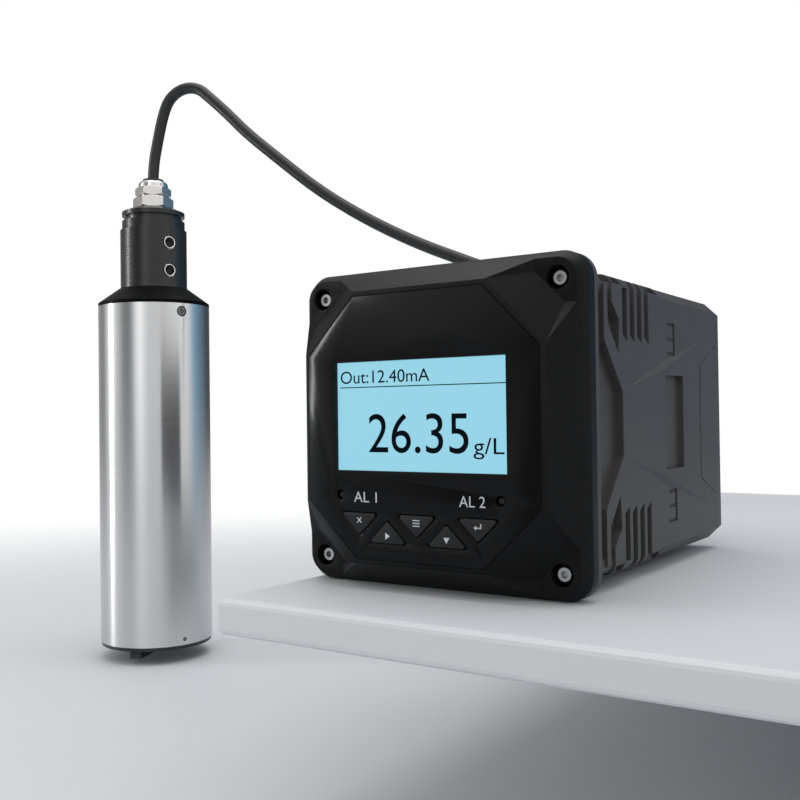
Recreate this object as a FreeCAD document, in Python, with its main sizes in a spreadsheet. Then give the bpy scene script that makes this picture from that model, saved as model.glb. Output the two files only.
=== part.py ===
import FreeCAD, Part
import math
import os
import re

import Sketcher
from FreeCAD import Placement, Rotation, Vector

# Suspended solids meter: a panel-mounting controller and the probe that hangs from its cable.
# The origin is the centre of the panel face, the rear of the controller's flange. +X is right as
# the display is read, +Y runs back through the panel and +Z is up. All sizes are in millimetres.

SIZES = {
    # controller front
    "front_half": 50.0, "front_radius": 8.0, "flange_thick": 2.5, "cover_edge": 3.7,
    "face_depth": 19.4, "lip_half": 42.3, "lip_radius": 2.0, "lip_step": 0.9,
    "lens_half": 40.7, "lens_cut": 18.0, "lens_thick": 1.8, "lens_play": 0.15,
    "shelf_thick": 2.0, "shelf_half": 37.4, "shelf_diagonal": 60.0, "cavity_half": 39.0,
    "cavity_diagonal": 66.0,
    "pad_depth": 9.7, "pad_inner": 34.8, "pad_diagonal": 79.0,
    "screw_half": 42.0, "counterbore_r": 3.4, "screw_head_r": 2.2, "screw_head_high": 2.5,
    "screw_seat": 5.6, "screw_r": 1.25, "screw_long": 10.0, "screw_play": 0.15, "socket_r": 1.1,
    "insert_r": 2.1, "insert_long": 6.0, "gasket_half": 48.4, "gasket_wide": 1.6, "gasket_deep": 1.2,
    "gasket_play": 0.05,
    # display
    "window_half": 30.2, "window_low": 13.4, "window_high": 20.2, "glass_edge": 2.8,
    "glass_thick": 2.0, "backlight_thick": 4.0, "frame_wall": 1.0, "frame_play": 0.3,
    "board_front": 6.9, "board_thick": 1.6, "board_half": 38.4, "board_diagonal": 65.4,
    "post_at": 30.5, "post_r": 2.8, "post_screw_r": 1.1, "post_head_r": 2.2, "post_head_high": 1.6,
    "led_x": 28.0, "led_z": -21.0, "led_r": 1.4, "led_play": 0.15, "led_recess": 0.5,
    # keys
    "key_pitch": 10.4, "key_row": -30.8, "key_wide": 13.4, "key_high": 6.6, "key_shift": 1.1,
    "key_play": 0.3, "key_proud": 0.4, "key_flange": 0.8, "key_flange_thick": 1.0,
    "key_gap": 0.3, "key_stem_r": 2.0, "key_travel": 0.6, "key_radius": 0.6,
    "guide_thick": 1.5, "guide_half": 29.0, "guide_low": -38.6, "guide_top": -24.6,
    "guide_leg_r": 1.5, "stem_play": 0.1, "switch_half": 3.0, "switch_high": 3.5,
    "plunger_r": 1.7, "plunger_high": 0.8, "switch_gap": 0.1,
    # housing
    "body_half": 46.1, "body_radius": 4.0, "core_half": 43.2, "core_radius": 3.0,
    "wall": 2.2, "hollow_diagonal": 72.0, "shell_long": 127.0, "armour_start": 13.8,
    "rib_wide": 2.9, "rib_low": 25.6, "scallop_y": 28.3, "scallop_z": 9.9,
    "slot_front_low": 31.0, "slot_tip_y": 25.2, "slot_tip_z": 21.8, "slot_rear_y": 26.1,
    "slot_rear_z": 32.2, "slot_top_y": 20.1, "slot_top_z": 37.6,
    "groove_start": 28.8, "groove_pitch": 6.5, "groove_wide": 4.0, "groove_low": 28.0,
    "groove_point": 2.2, "first_groove_top": 42.6, "block_rear": 61.0, "window_long": 9.7,
    "window_rib": 0.8, "window_z": 44.0, "rib_top": 42.6, "post_skin": 0.6, "insert_play": 0.05,
    "corner_cut": 3.8, "clamp_front": 74.0, "clamp_rear": 89.4, "clamp_half": 16.4,
    "clamp_ramp": 8.0, "clamp_ramp_deep": 1.8, "mark_front": 70.3, "mark_rear": 78.8,
    "mark_low": 23.3, "mark_high": 34.6, "mark_bar": 2.2, "mark_arm": 1.1, "mark_deep": 0.8,
    "crease_deep": 1.2, "crease_front": 29.5, "crease_mid": 71.0, "crease_rear": 112.0,
    "crease_z_front": 10.4, "crease_z_mid": 18.6, "crease_z_rear": 30.8, "crease_wide": 3.6,
    "cap_long": 6.6, "cap_slope": 6.0, "cap_drop": 3.6, "cap_side": 0.4, "tongue_front": 107.8,
    "tongue_half": 21.2,
    "tongue_wide": 28.3, "tongue_knee": 125.6, "tongue_thick": 1.4, "tongue_play": 0.2,
    "spigot_long": 3.0, "spigot_wall": 2.0, "spigot_play": 0.3, "rear_screw_half": 39.0,
    # boards in the housing
    "level_z": 17.0, "level_half": 40.6, "level_front": 4.0, "level_rear": 124.0,
    "rail_thick": 1.2, "rail_deep": 2.0, "rail_play": 0.2, "rail_front": 8.0,
    "block_half": 28.0, "block_high": 14.0, "block_front": 119.0, "block_proud": 0.8,
    "block_play": 0.3, "pole_pitch": 5.08, "entry_half": 1.6, "entry_low": 3.2, "entry_deep": 6.0,
    "pole_screw_r": 1.6, "pole_screw_up": 9.6, "pole_screw_deep": 1.0, "spacer_r": 2.75,
    "spacer_x": 32.0, "spacer_front": 16.0, "spacer_rear": 100.0,
    "relay_left": -24.0, "relay_pitch": 22.0, "relay_wide": 16.0, "relay_front": 84.0, "relay_long": 20.0,
    "relay_high": 15.0, "core_wide": 30.0, "core_front": 60.0, "core_long": 24.0, "core_high": 20.0,
    "winding_out": 3.0, "can_x": 26.0, "can_y": 58.0, "can_r": 5.0, "can_high": 18.0,
    "strip_half": 10.0, "strip_low": 8.0, "strip_turn": 6.8, "strip_thick": 0.8,
    # probe, measured along its own upright axis
    "probe_x": -255.8, "probe_y": 111.2, "probe_turn": -14.0, "tube_r": 30.0, "tube_wall": 2.0,
    "tube_low": -116.6, "tube_high": 65.0, "fit_play": 0.1, "neck_r": 18.0, "neck_low": 75.0,
    "neck_high": 107.4, "rim_high": 1.8, "cap_plug": 14.0, "cap_bore_r": 12.0, "neck_bore_r": 7.0,
    "collar_r": 17.0, "collar_high": 5.1, "recess_r": 15.2, "recess_high": 2.7, "flare_high": 2.3,
    "flare_top_high": 2.3, "flare_top_r": 11.6, "seat_r": 6.0, "gland_hex": 19.0, "gland_hex_high": 6.5,
    "nut_hex": 17.0, "nut_hex_high": 5.3, "dome_r": 8.2, "dome_high": 3.5, "dome_top_r": 6.2,
    "cable_r": 3.0, "cable_play": 0.1, "port_r": 3.8, "port_bore_r": 2.75, "port_long": 6.0,
    "port_high": 99.1, "port_pitch": 15.1, "sleeve_screw_z": 60.6, "sleeve_screw_r": 2.75,
    "pin_z": -113.6, "pin_r": 1.0, "head_plug": 24.0, "ring_r": 29.5, "ring_high": 1.9,
    "seal_r": 1.2, "wiper_park": -67.0, "wiper_reach": 26.7, "wiper_wide": 6.0, "wiper_thick": 2.6,
    "wiper_gap": 0.3, "blade_thick": 1.4, "shaft_r": 2.0, "shaft_play": 0.05, "optic_r": 4.0,
    "optic_thick": 2.0, "optic_at": 15.0, "optic_step": 45.0, "optic_play": 0.1, "motor_r": 10.0,
    "motor_long": 26.0, "probe_board_half": 20.0,
    "seal_up": 4.2, "cone_step": 0.8, "slot_deep": 1.2, "slot_play": 0.3, "cable_slack": 1.0,
    "collar_plug": 8.0, "gland_stub": 8.0, "thread_up": 4.3, "thread_r": 7.0, "seal_lift": 0.8,
    "seal_body_r": 5.2, "seal_top_r": 4.5, "seal_proud": 0.3, "shaft_seal_r": 5.0,
    "shaft_seal_high": 3.0, "lamp_r": 2.5, "lamp_high": 6.0, "pin_sunk": 0.6, "mount_thick": 2.0,
    "mount_r": 18.0, "hub_r": 5.0, "wiper_head_r": 3.0, "wiper_head_high": 1.6, "core_spread": 1.5,
    "core_wire_r": 0.8, "core_run": 5.5, "core_gap": 0.1,
}

doc = FreeCAD.newDocument("solids_meter")
sheet = doc.addObject("Spreadsheet::Sheet", "sizes")
for row, (alias, value) in enumerate(SIZES.items(), start=1):
    sheet.set("A%d" % row, alias)
    sheet.set("B%d" % row, str(value))
    sheet.setAlias("B%d" % row, alias)
doc.recompute()


def bound(expression):
    """Spell an expression of size names the way the sheet's cells are addressed."""
    return re.sub(r"[a-z][a-z_]*", lambda m: "sizes." + m.group() if m.group() in SIZES else m.group(),
                  str(expression))


def size(expression):
    """Value of an expression of size names."""
    value = sheet.evalExpression(bound(expression))
    return float(getattr(value, "Value", value))


def origin_part(body, role):
    return [item for item in body.Origin.OriginFeatures if item.Role == role][0]


def polygon(*points):
    """Closed outline through the given points."""
    def draw(sketch):
        first = sketch.GeometryCount
        places = [Vector(size(across), size(up), 0) for across, up in points]
        for index, place in enumerate(places):
            sketch.addGeometry(Part.LineSegment(place, places[(index + 1) % len(places)]))
        for index, (across, up) in enumerate(points):
            line = first + index
            following = first + (index + 1) % len(points)
            sketch.addConstraint(Sketcher.Constraint("Coincident", line, 2, following, 1))
            pin_point(sketch, line, 1, across, up)
    return draw


def circle(across, up, radius):
    """Round outline."""
    def draw(sketch):
        middle = Vector(size(across), size(up), 0)
        ring = sketch.addGeometry(Part.Circle(middle, Vector(0, 0, 1), size(radius)))
        pin_point(sketch, ring, 3, across, up)
        number = sketch.addConstraint(Sketcher.Constraint("Radius", ring, size(radius)))
        sketch.setExpression("Constraints[%d]" % number, bound(radius))
    return draw


def rounded(left, right, low, high, radius):
    """Rectangle with rounded corners."""
    def draw(sketch):
        x0, x1, y0, y1, r = (size(item) for item in (left, right, low, high, radius))
        corners = [(x1 - r, y0 + r, -90), (x1 - r, y1 - r, 0), (x0 + r, y1 - r, 90), (x0 + r, y0 + r, 180)]
        arcs = []
        for across, up, start in corners:
            whole = Part.Circle(Vector(across, up, 0), Vector(0, 0, 1), r)
            arcs.append(sketch.addGeometry(Part.ArcOfCircle(whole, math.radians(start),
                                                            math.radians(start + 90))))
        lines = []
        for index in range(4):
            ahead = (index + 1) % 4
            begin = sketch.getPoint(arcs[index], 2)
            end = sketch.getPoint(arcs[ahead], 1)
            line = sketch.addGeometry(Part.LineSegment(begin, end))
            lines.append(line)
            sketch.addConstraint(Sketcher.Constraint("Tangent", arcs[index], 2, line, 1))
            sketch.addConstraint(Sketcher.Constraint("Tangent", line, 2, arcs[ahead], 1))
            sketch.addConstraint(Sketcher.Constraint(("Vertical", "Horizontal")[index % 2], line))
        for line, kind, place in ((lines[0], "DistanceX", right), (lines[1], "DistanceY", high),
                                  (lines[2], "DistanceX", left), (lines[3], "DistanceY", low)):
            number = sketch.addConstraint(Sketcher.Constraint(kind, -1, 1, line, 1, size(place)))
            sketch.setExpression("Constraints[%d]" % number, bound(place))
        number = sketch.addConstraint(Sketcher.Constraint("Radius", arcs[0], r))
        sketch.setExpression("Constraints[%d]" % number, bound(radius))
        for arc in arcs[1:]:
            sketch.addConstraint(Sketcher.Constraint("Equal", arcs[0], arc))
    return draw


def cut_oblong(half_x, half_z, cut):
    """Octagon: a rectangle of the given half sizes with its corners cut off at 45 degrees."""
    near_x, near_z = "((%s)-(%s))" % (half_x, cut), "((%s)-(%s))" % (half_z, cut)
    full_x, full_z = "(%s)" % half_x, "(%s)" % half_z
    return polygon((near_x, full_z), (full_x, near_z), (full_x, "-" + near_z), (near_x, "-" + full_z),
                   ("-" + near_x, "-" + full_z), ("-" + full_x, "-" + near_z), ("-" + full_x, near_z),
                   ("-" + near_x, full_z))


def cut_square(half, diagonal):
    """Octagon: a square of the given half width whose corners stop where x + z is the diagonal."""
    return cut_oblong(half, half, "2*(%s)-(%s)" % (half, diagonal))


def hexagon(across_flats):
    """Hexagon about the axis, flats at the sides."""
    flat, corner = "(%s)/2" % across_flats, "(%s)/sqrt(3)" % across_flats
    return polygon((corner, "0"), ("(%s)/2" % corner, flat), ("-(%s)/2" % corner, flat),
                   ("-(%s)" % corner, "0"), ("-(%s)/2" % corner, "-(%s)" % flat),
                   ("(%s)/2" % corner, "-(%s)" % flat))


def pin_point(sketch, item, spot, across, up):
    for kind, place in (("DistanceX", across), ("DistanceY", up)):
        number = sketch.addConstraint(Sketcher.Constraint(kind, -1, 1, item, spot, size(place)))
        sketch.setExpression("Constraints[%d]" % number, bound(place))


PLANES = {"X": "YZ_Plane", "Y": "XZ_Plane", "Z": "XY_Plane"}


def new_body(label, several=False):
    body = doc.addObject("PartDesign::Body", label)
    body.Label = label
    body.AllowCompound = several
    return body


def new_sketch(body, name, axis, level, outlines):
    """Sketch square to an axis of the part, at a level along it."""
    sketch = body.newObject("Sketcher::SketchObject", name)
    sketch.AttachmentSupport = [(origin_part(body, PLANES[axis]), "")]
    sketch.MapMode = "FlatFace"
    shift = "-(%s)" % level if axis == "Y" else str(level)
    sketch.setExpression("AttachmentOffset.Base.z", bound(shift))
    for outline in outlines:
        outline(sketch)
    return sketch


def prism(body, name, axis, low, high, *outlines):
    """Solid between two levels along an axis."""
    level = high if axis == "Y" else low
    pad = body.newObject("PartDesign::Pad", name)
    pad.Profile = new_sketch(body, name + "_outline", axis, level, outlines)
    pad.setExpression("Length", bound("(%s)-(%s)" % (high, low)))
    doc.recompute()
    return pad


def hollow(body, name, axis, low, high, *outlines):
    """Cut between two levels along an axis."""
    before = body.Shape.Volume
    level = low if axis == "Y" else high
    pocket = body.newObject("PartDesign::Pocket", name)
    pocket.Profile = new_sketch(body, name + "_outline", axis, level, outlines)
    pocket.setExpression("Length", bound("(%s)-(%s)" % (high, low)))
    doc.recompute()
    if body.Shape.Volume > before - 1e-3:
        raise ValueError(name + " removes nothing")
    return pocket


def loft(body, name, axis, sections, kind="PartDesign::AdditiveLoft"):
    """Ruled solid or cut through outlines at several levels."""
    sketches = [new_sketch(body, "%s_outline_%d" % (name, index), axis, level, [outline])
                for index, (level, outline) in enumerate(sections)]
    form = body.newObject(kind, name)
    form.Profile = sketches[0]
    form.Sections = sketches[1:]
    form.Ruled = True
    doc.recompute()
    return form


def turned(body, name, *points):
    """Solid turned about the upright axis from points of radius and height."""
    sketch = new_sketch(body, name + "_outline", "Y", "0", [polygon(*points)])
    form = body.newObject("PartDesign::Revolution", name)
    form.Profile = sketch
    form.ReferenceAxis = (sketch, ["V_Axis"])
    form.Angle = 360
    doc.recompute()
    return form


def repeated(body, name, features, axis, count):
    """Copies of features, evenly spaced round an axis of the part."""
    pattern = body.newObject("PartDesign::PolarPattern", name)
    pattern.Originals = features
    pattern.Axis = (origin_part(body, axis + "_Axis"), [""])
    pattern.Angle = 360
    pattern.Occurrences = count
    body.Tip = pattern
    doc.recompute()
    return pattern


def in_line(body, name, features, axis, length, count):
    """Copies of features in a row along an axis of the part."""
    pattern = body.newObject("PartDesign::LinearPattern", name)
    pattern.Originals = features
    pattern.Direction = (origin_part(body, axis + "_Axis"), [""])
    pattern.setExpression("Length", bound(length))
    pattern.Occurrences = count
    body.Tip = pattern
    doc.recompute()
    return pattern


def round_edges(body, name, radius, chosen, kind="PartDesign::Fillet"):
    """Round or bevel the chosen edges of what the body holds so far."""
    base = body.Tip
    edges = ["Edge%d" % (index + 1) for index, edge in enumerate(base.Shape.Edges) if chosen(edge)]
    form = body.newObject(kind, name)
    form.Base = (base, edges)
    form.setExpression("Radius" if kind.endswith("Fillet") else "Size", bound(radius))
    doc.recompute()
    return form


def runs_along(edge, axis):
    """True for a straight edge parallel to an axis."""
    if not isinstance(edge.Curve, Part.Line):
        return False
    direction = edge.Curve.Direction
    return abs(abs(getattr(direction, axis.lower())) - 1) < 1e-6


# Levels of the front, as depths before the panel face.
SIDE_FRONT = "-(flange_thick+cover_edge)"
LIP_LEVEL = "-(face_depth-lip_step)"
LENS_BACK = "-(face_depth-lens_thick)"
SHELF_BACK = "-(face_depth-lens_thick-shelf_thick)"
LENS_DIAGONAL = "2*lens_half-lens_cut"
LIP_DIAGONAL = "2*lens_half-lens_cut+(lip_half-lens_half)*sqrt(2)"


def make_front_bezel():
    """Moulded front frame: drafted sides, four sunk corner pads and an octagon lip round the lens."""
    body = new_body("front_bezel")
    square = rounded("-front_half", "front_half", "-front_half", "front_half", "front_radius")
    prism(body, "rim", "Y", SIDE_FRONT, "-flange_thick", square)
    top = rounded("-lip_half", "lip_half", "-lip_half", "lip_half", "lip_radius")
    loft(body, "drafted_sides", "Y", [(SIDE_FRONT, square), (LIP_LEVEL, top)])
    far = "front_half*1.3"
    inner, outer = "pad_inner", "pad_diagonal-pad_inner"
    top_inner, top_outer = "%s-lip_half" % LIP_DIAGONAL, "lip_half"
    pad = polygon((inner, far), (inner, outer), (outer, inner), (far, inner), (far, far))
    lip = polygon((top_inner, far), (top_inner, top_outer), (top_outer, top_inner), (far, top_inner),
                  (far, far))
    notch = loft(body, "corner_notch", "Y", [("-pad_depth", pad), (LIP_LEVEL, lip)],
                 kind="PartDesign::SubtractiveLoft")
    repeated(body, "corner_notches", [notch], "Y", 4)
    loft(body, "lens_lip", "Y", [(LIP_LEVEL, cut_square("lip_half", LIP_DIAGONAL)),
                                 ("-face_depth", cut_square("lens_half", LENS_DIAGONAL))])
    hollow(body, "lens_seat", "Y", "-face_depth", LENS_BACK, cut_square("lens_half", LENS_DIAGONAL))
    hollow(body, "cavity", "Y", SHELF_BACK, "-flange_thick", cut_square("cavity_half", "cavity_diagonal"))
    hollow(body, "shelf_opening", "Y", LENS_BACK, SHELF_BACK, cut_square("shelf_half", "shelf_diagonal"))
    post = prism(body, "board_post", "Y", SHELF_BACK, "-board_front", circle("post_at", "post_at", "post_r"))
    pilot = hollow(body, "post_pilot", "Y", "-(board_front+screw_long/2)", "-board_front",
                   circle("post_at", "post_at", "post_screw_r+screw_play"))
    sink = hollow(body, "counterbore", "Y", "-face_depth", "-screw_seat",
                  circle("screw_half", "screw_half", "counterbore_r"))
    bore = hollow(body, "screw_hole", "Y", "-screw_seat", "-flange_thick",
                  circle("screw_half", "screw_half", "screw_r+screw_play"))
    repeated(body, "corner_features", [post, pilot, sink, bore], "Y", 4)
    return body


def key_outline(across, upward, grow):
    """Triangular key seen from the front, point up or point down."""
    middle = "key_row-key_shift*%d" % upward
    half = "key_wide/2+%s*2.41" % grow
    point = "%s+(key_high/2+%s*1.41)*%d" % (middle, grow, upward)
    base = "%s-(key_high/2+%s)*%d" % (middle, grow, upward)
    return polygon(("%s-(%s)" % (across, half), base), ("%s+(%s)" % (across, half), base), (across, point))


# Place of each key along the row, and 1 where it points up or -1 where it points down.
KEYS = {"key_cancel": (-2, -1), "key_right": (-1, 1), "key_menu": (0, -1), "key_down": (1, 1),
        "key_enter": (2, -1)}


def key_stem(place, upward):
    return "key_pitch*(%d)" % place, "key_row-key_shift*%d-key_high/6*%d" % (upward, upward)


def make_lens_panel():
    """Glossy black sheet with the display window, five key openings and two lamp holes."""
    body = new_body("lens_panel")
    half, diagonal = "lens_half-lens_play", LENS_DIAGONAL + "-lens_play*2"
    prism(body, "sheet", "Y", "-face_depth", LENS_BACK, cut_square(half, diagonal))
    hollow(body, "window", "Y", "-face_depth", LENS_BACK,
           polygon(("-window_half", "-window_low"), ("window_half", "-window_low"),
                   ("window_half", "window_high"), ("-window_half", "window_high")))
    hollow(body, "lamp_holes", "Y", "-face_depth", LENS_BACK,
           circle("led_x", "led_z", "led_r+led_play"), circle("-led_x", "led_z", "led_r+led_play"))
    for name, (place, upward) in KEYS.items():
        hollow(body, name + "_opening", "Y", "-face_depth", LENS_BACK,
               key_outline("key_pitch*(%d)" % place, upward, "key_play"))
    round_edges(body, "opening_corners", "key_radius",
                lambda edge: runs_along(edge, "Y") and size("key_row-key_high") < edge.BoundBox.Center.z
                < size("key_row+key_high") and abs(edge.BoundBox.Center.x) < size("key_pitch*2+key_wide"))
    return body


def make_key(name, place, upward):
    """Key cap with a retaining flange behind the lens and a stem towards its switch."""
    body = new_body(name)
    across = "key_pitch*(%d)" % place
    back = LENS_BACK + "+key_gap"
    prism(body, "cap", "Y", "-(face_depth+key_proud)", back, key_outline(across, upward, "0"))
    round_edges(body, "cap_corners", "key_radius", lambda edge: runs_along(edge, "Y"))
    prism(body, "flange", "Y", back, back + "+key_flange_thick",
          key_outline(across, upward, "key_flange"))
    prism(body, "stem", "Y", back + "+key_flange_thick",
          "-(board_front+switch_high+plunger_high+key_travel+switch_gap)",
          circle(*key_stem(place, upward), "key_stem_r"))
    return body


def make_key_guide():
    """Moulded plate behind the keys: a hole for each stem and two legs on the display board."""
    body = new_body("key_guide")
    back = SHELF_BACK + "+guide_thick"
    narrow = "(guide_half-key_high)"
    prism(body, "plate", "Y", SHELF_BACK, back,
          polygon(("-guide_half", "guide_top"), ("-" + narrow, "guide_low"), (narrow, "guide_low"),
                  ("guide_half", "guide_top")))
    legs = [circle("key_pitch*%s" % turn, "guide_low+guide_leg_r*2", "guide_leg_r") for turn in ("1.9", "(-1.9)")]
    prism(body, "legs", "Y", back, "-board_front", *legs)
    hollow(body, "stem_holes", "Y", SHELF_BACK, back,
           *[circle(*key_stem(place, upward), "key_stem_r+stem_play") for place, upward in KEYS.values()])
    return body


def make_tact_switches():
    """Five push switches on the display board, one behind each key."""
    body = new_body("tact_switches", several=True)
    squares, plungers = [], []
    for place, upward in KEYS.values():
        across, up = key_stem(place, upward)
        squares.append(polygon(("%s-switch_half" % across, "%s-switch_half" % up),
                               ("%s+switch_half" % across, "%s-switch_half" % up),
                               ("%s+switch_half" % across, "%s+switch_half" % up),
                               ("%s-switch_half" % across, "%s+switch_half" % up)))
        plungers.append(circle(across, up, "plunger_r"))
    top = "-(board_front+switch_high)"
    prism(body, "cases", "Y", top, "-board_front", *squares)
    prism(body, "plungers", "Y", top + "-plunger_high", top, *plungers)
    return body


def display_rectangle(grow):
    """Outline of the display, grown past the window's edges."""
    return polygon(("-(window_half+%s)" % grow, "-(window_low+%s)" % grow),
                   ("window_half+%s" % grow, "-(window_low+%s)" % grow),
                   ("window_half+%s" % grow, "window_high+%s" % grow),
                   ("-(window_half+%s)" % grow, "window_high+%s" % grow))


def make_display():
    """Display glass, its light guide, its metal frame and the board that carries them."""
    glass_back = LENS_BACK + "+glass_thick"
    glass = new_body("lcd_glass")
    prism(glass, "pane", "Y", LENS_BACK, glass_back, display_rectangle("glass_edge"))
    light = new_body("lcd_backlight")
    prism(light, "block", "Y", glass_back, glass_back + "+backlight_thick", display_rectangle("glass_edge"))
    frame = new_body("lcd_frame")
    inside = "glass_edge+frame_play"
    prism(frame, "sheet", "Y", LENS_BACK + "+frame_play", "-board_front",
          display_rectangle(inside + "+frame_wall"))
    hollow(frame, "inside", "Y", LENS_BACK + "+frame_play", "-board_front", display_rectangle(inside))
    board = new_body("display_board")
    prism(board, "laminate", "Y", "-board_front", "-board_front+board_thick",
          cut_square("board_half", "board_diagonal"))
    hole = hollow(board, "post_hole", "Y", "-board_front", "-board_front+board_thick",
                  circle("post_at", "post_at", "post_screw_r+screw_play"))
    repeated(board, "post_holes", [hole], "Y", 4)
    return [glass, light, frame, board]


def make_leds():
    """Alarm lamps: a small dome that stands in the lens, on a spacer from the display board."""
    bodies = []
    for name, side in (("led_high", "-"), ("led_low", "")):
        body = new_body(name)
        across = side + "led_x"
        tip = "-(face_depth-led_recess)"
        prism(body, "spacer", "Y", SHELF_BACK, "-board_front", circle(across, "led_z", "led_r*1.25"))
        prism(body, "dome", "Y", tip, SHELF_BACK, circle(across, "led_z", "led_r"))
        front = size(tip)
        round_edges(body, "dome_tip", "led_r*0.7", lambda edge: abs(edge.BoundBox.YMax - front) < 1e-3
                    and abs(edge.BoundBox.YMin - front) < 1e-3)
        bodies.append(body)
    return bodies


def screw(body, at_x, at_z, seat, head_r, head_high, shank_r, shank_long, socket):
    """Cap screw along +Y under its head, with a hexagon or cross recess."""
    head = prism(body, "head", "Y", "%s-%s" % (seat, head_high), seat, circle(at_x, at_z, head_r))
    shank = prism(body, "shank", "Y", seat, "%s+%s" % (seat, shank_long), circle(at_x, at_z, shank_r))
    depth = "%s-%s" % (seat, head_high)
    recess = hollow(body, "recess", "Y", depth, depth + "+(%s)/2" % head_high, socket)
    return [head, shank, recess]


def make_fasteners():
    """Screws and threaded inserts of the controller."""
    cover = new_body("cover_screws", several=True)
    hexagon_socket = polygon(*[("screw_half+socket_r*cos(%d)" % turn, "screw_half+socket_r*sin(%d)" % turn)
                               for turn in range(0, 360, 60)])
    parts = screw(cover, "screw_half", "screw_half", "-screw_seat", "screw_head_r", "screw_head_high",
                  "screw_r", "screw_long", hexagon_socket)
    repeated(cover, "all_corners", parts, "Y", 4)
    inserts = new_body("case_inserts", several=True)
    low = "-(flange_thick-gasket_deep/2)"
    ring = prism(inserts, "insert", "Y", low, low + "+insert_long",
                 circle("screw_half", "screw_half", "insert_r"),
                 circle("screw_half", "screw_half", "screw_r+screw_play/2"))
    repeated(inserts, "all_corners", [ring], "Y", 4)
    boards = new_body("board_screws", several=True)
    head_seat = "-board_front+board_thick"
    head = prism(boards, "head", "Y", head_seat, head_seat + "+post_head_high",
                 circle("post_at", "post_at", "post_head_r"))
    shank = prism(boards, "shank", "Y", head_seat + "-screw_long/2", head_seat,
                  circle("post_at", "post_at", "post_screw_r"))
    repeated(boards, "all_corners", [head, shank], "Y", 4)
    rear = new_body("rear_screws", several=True)
    seat = "shell_long+cap_long-screw_head_high"
    head = prism(rear, "head", "Y", seat, seat + "+post_head_high",
                 circle("rear_screw_half", "rear_screw_half", "screw_head_r"))
    shank = prism(rear, "shank", "Y", seat + "-screw_long", seat,
                  circle("rear_screw_half", "rear_screw_half", "screw_r"))
    repeated(rear, "all_corners", [head, shank], "Y", 4)
    return [cover, inserts, boards, rear]


def make_cover_gasket():
    """Square rubber cord between the front frame and the housing's flange."""
    body = new_body("cover_gasket")
    prism(body, "cord", "Y", "-flange_thick", "-flange_thick+gasket_deep", *gasket_outlines("0"))
    return body


# The housing's side faces are drawn as seen from +X and repeated round the part's depth axis.
HOLLOW_HALF = "(core_half-wall)"
FAR = "body_half*1.2"


def both_ways(*points):
    """The same outline above and below the middle of a side face."""
    return [polygon(*points), polygon(*[(along, "-(%s)" % up) for along, up in points])]


def make_case_shell():
    """Moulded housing: flange, inner tube, corner posts and an armour layer cut to its edges and grooves."""
    body = new_body("case_shell")
    square = rounded("-front_half", "front_half", "-front_half", "front_half", "front_radius")
    prism(body, "flange", "Y", "-flange_thick", "0", square)
    prism(body, "core", "Y", "0", "shell_long",
          rounded("-core_half", "core_half", "-core_half", "core_half", "core_radius"))
    prism(body, "armour", "Y", "armour_start", "shell_long",
          rounded("-body_half", "body_half", "-body_half", "body_half", "body_radius"))
    hollow(body, "inside", "Y", "-flange_thick", "shell_long", cut_square(HOLLOW_HALF, "hollow_diagonal"))
    hollow(body, "gasket_groove", "Y", "-flange_thick", "-flange_thick+gasket_deep",
           *gasket_outlines("gasket_play"))
    rails = []
    for side in ("", "-"):
        for level in ("", "-"):
            for low in ("level_z-rail_play-rail_thick", "level_z+board_thick+rail_play"):
                inner, outer = side + "(%s-rail_deep)" % HOLLOW_HALF, side + HOLLOW_HALF
                bottom, top = level + "(%s)" % low, level + "(%s+rail_thick)" % low
                rails.append(polygon((inner, bottom), (outer, bottom), (outer, top), (inner, top)))
    prism(body, "board_rails", "Y", "rail_front", "shell_long-spigot_long-rail_play", *rails)
    bar = "mark_rear-mark_bar"
    middle = "(mark_low+mark_high)/2"
    mark = both_ways(("mark_front", "mark_high"), ("mark_rear", "mark_high"), ("mark_rear", "mark_low"),
                     ("mark_front", "mark_low"), ("mark_front", "mark_low+mark_arm"), (bar, "mark_low+mark_arm"),
                     (bar, middle + "-mark_arm/2"), ("mark_front", middle + "-mark_arm/2"),
                     ("mark_front", middle + "+mark_arm/2"), (bar, middle + "+mark_arm/2"),
                     (bar, "mark_high-mark_arm"), ("mark_front", "mark_high-mark_arm"))
    marks = hollow(body, "comb_marks", "X", "body_half-mark_deep", FAR, *mark)
    seat = hollow(body, "tongue_seat", "X", "body_half-tongue_thick-tongue_play", FAR,
                  tongue_outline("tongue_play"))
    repeated(body, "both_sides", [marks, seat], "Y", 2)
    features = armour_cuts(body) + corner_features(body)
    repeated(body, "four_sides", features, "Y", 4)
    return body


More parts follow.
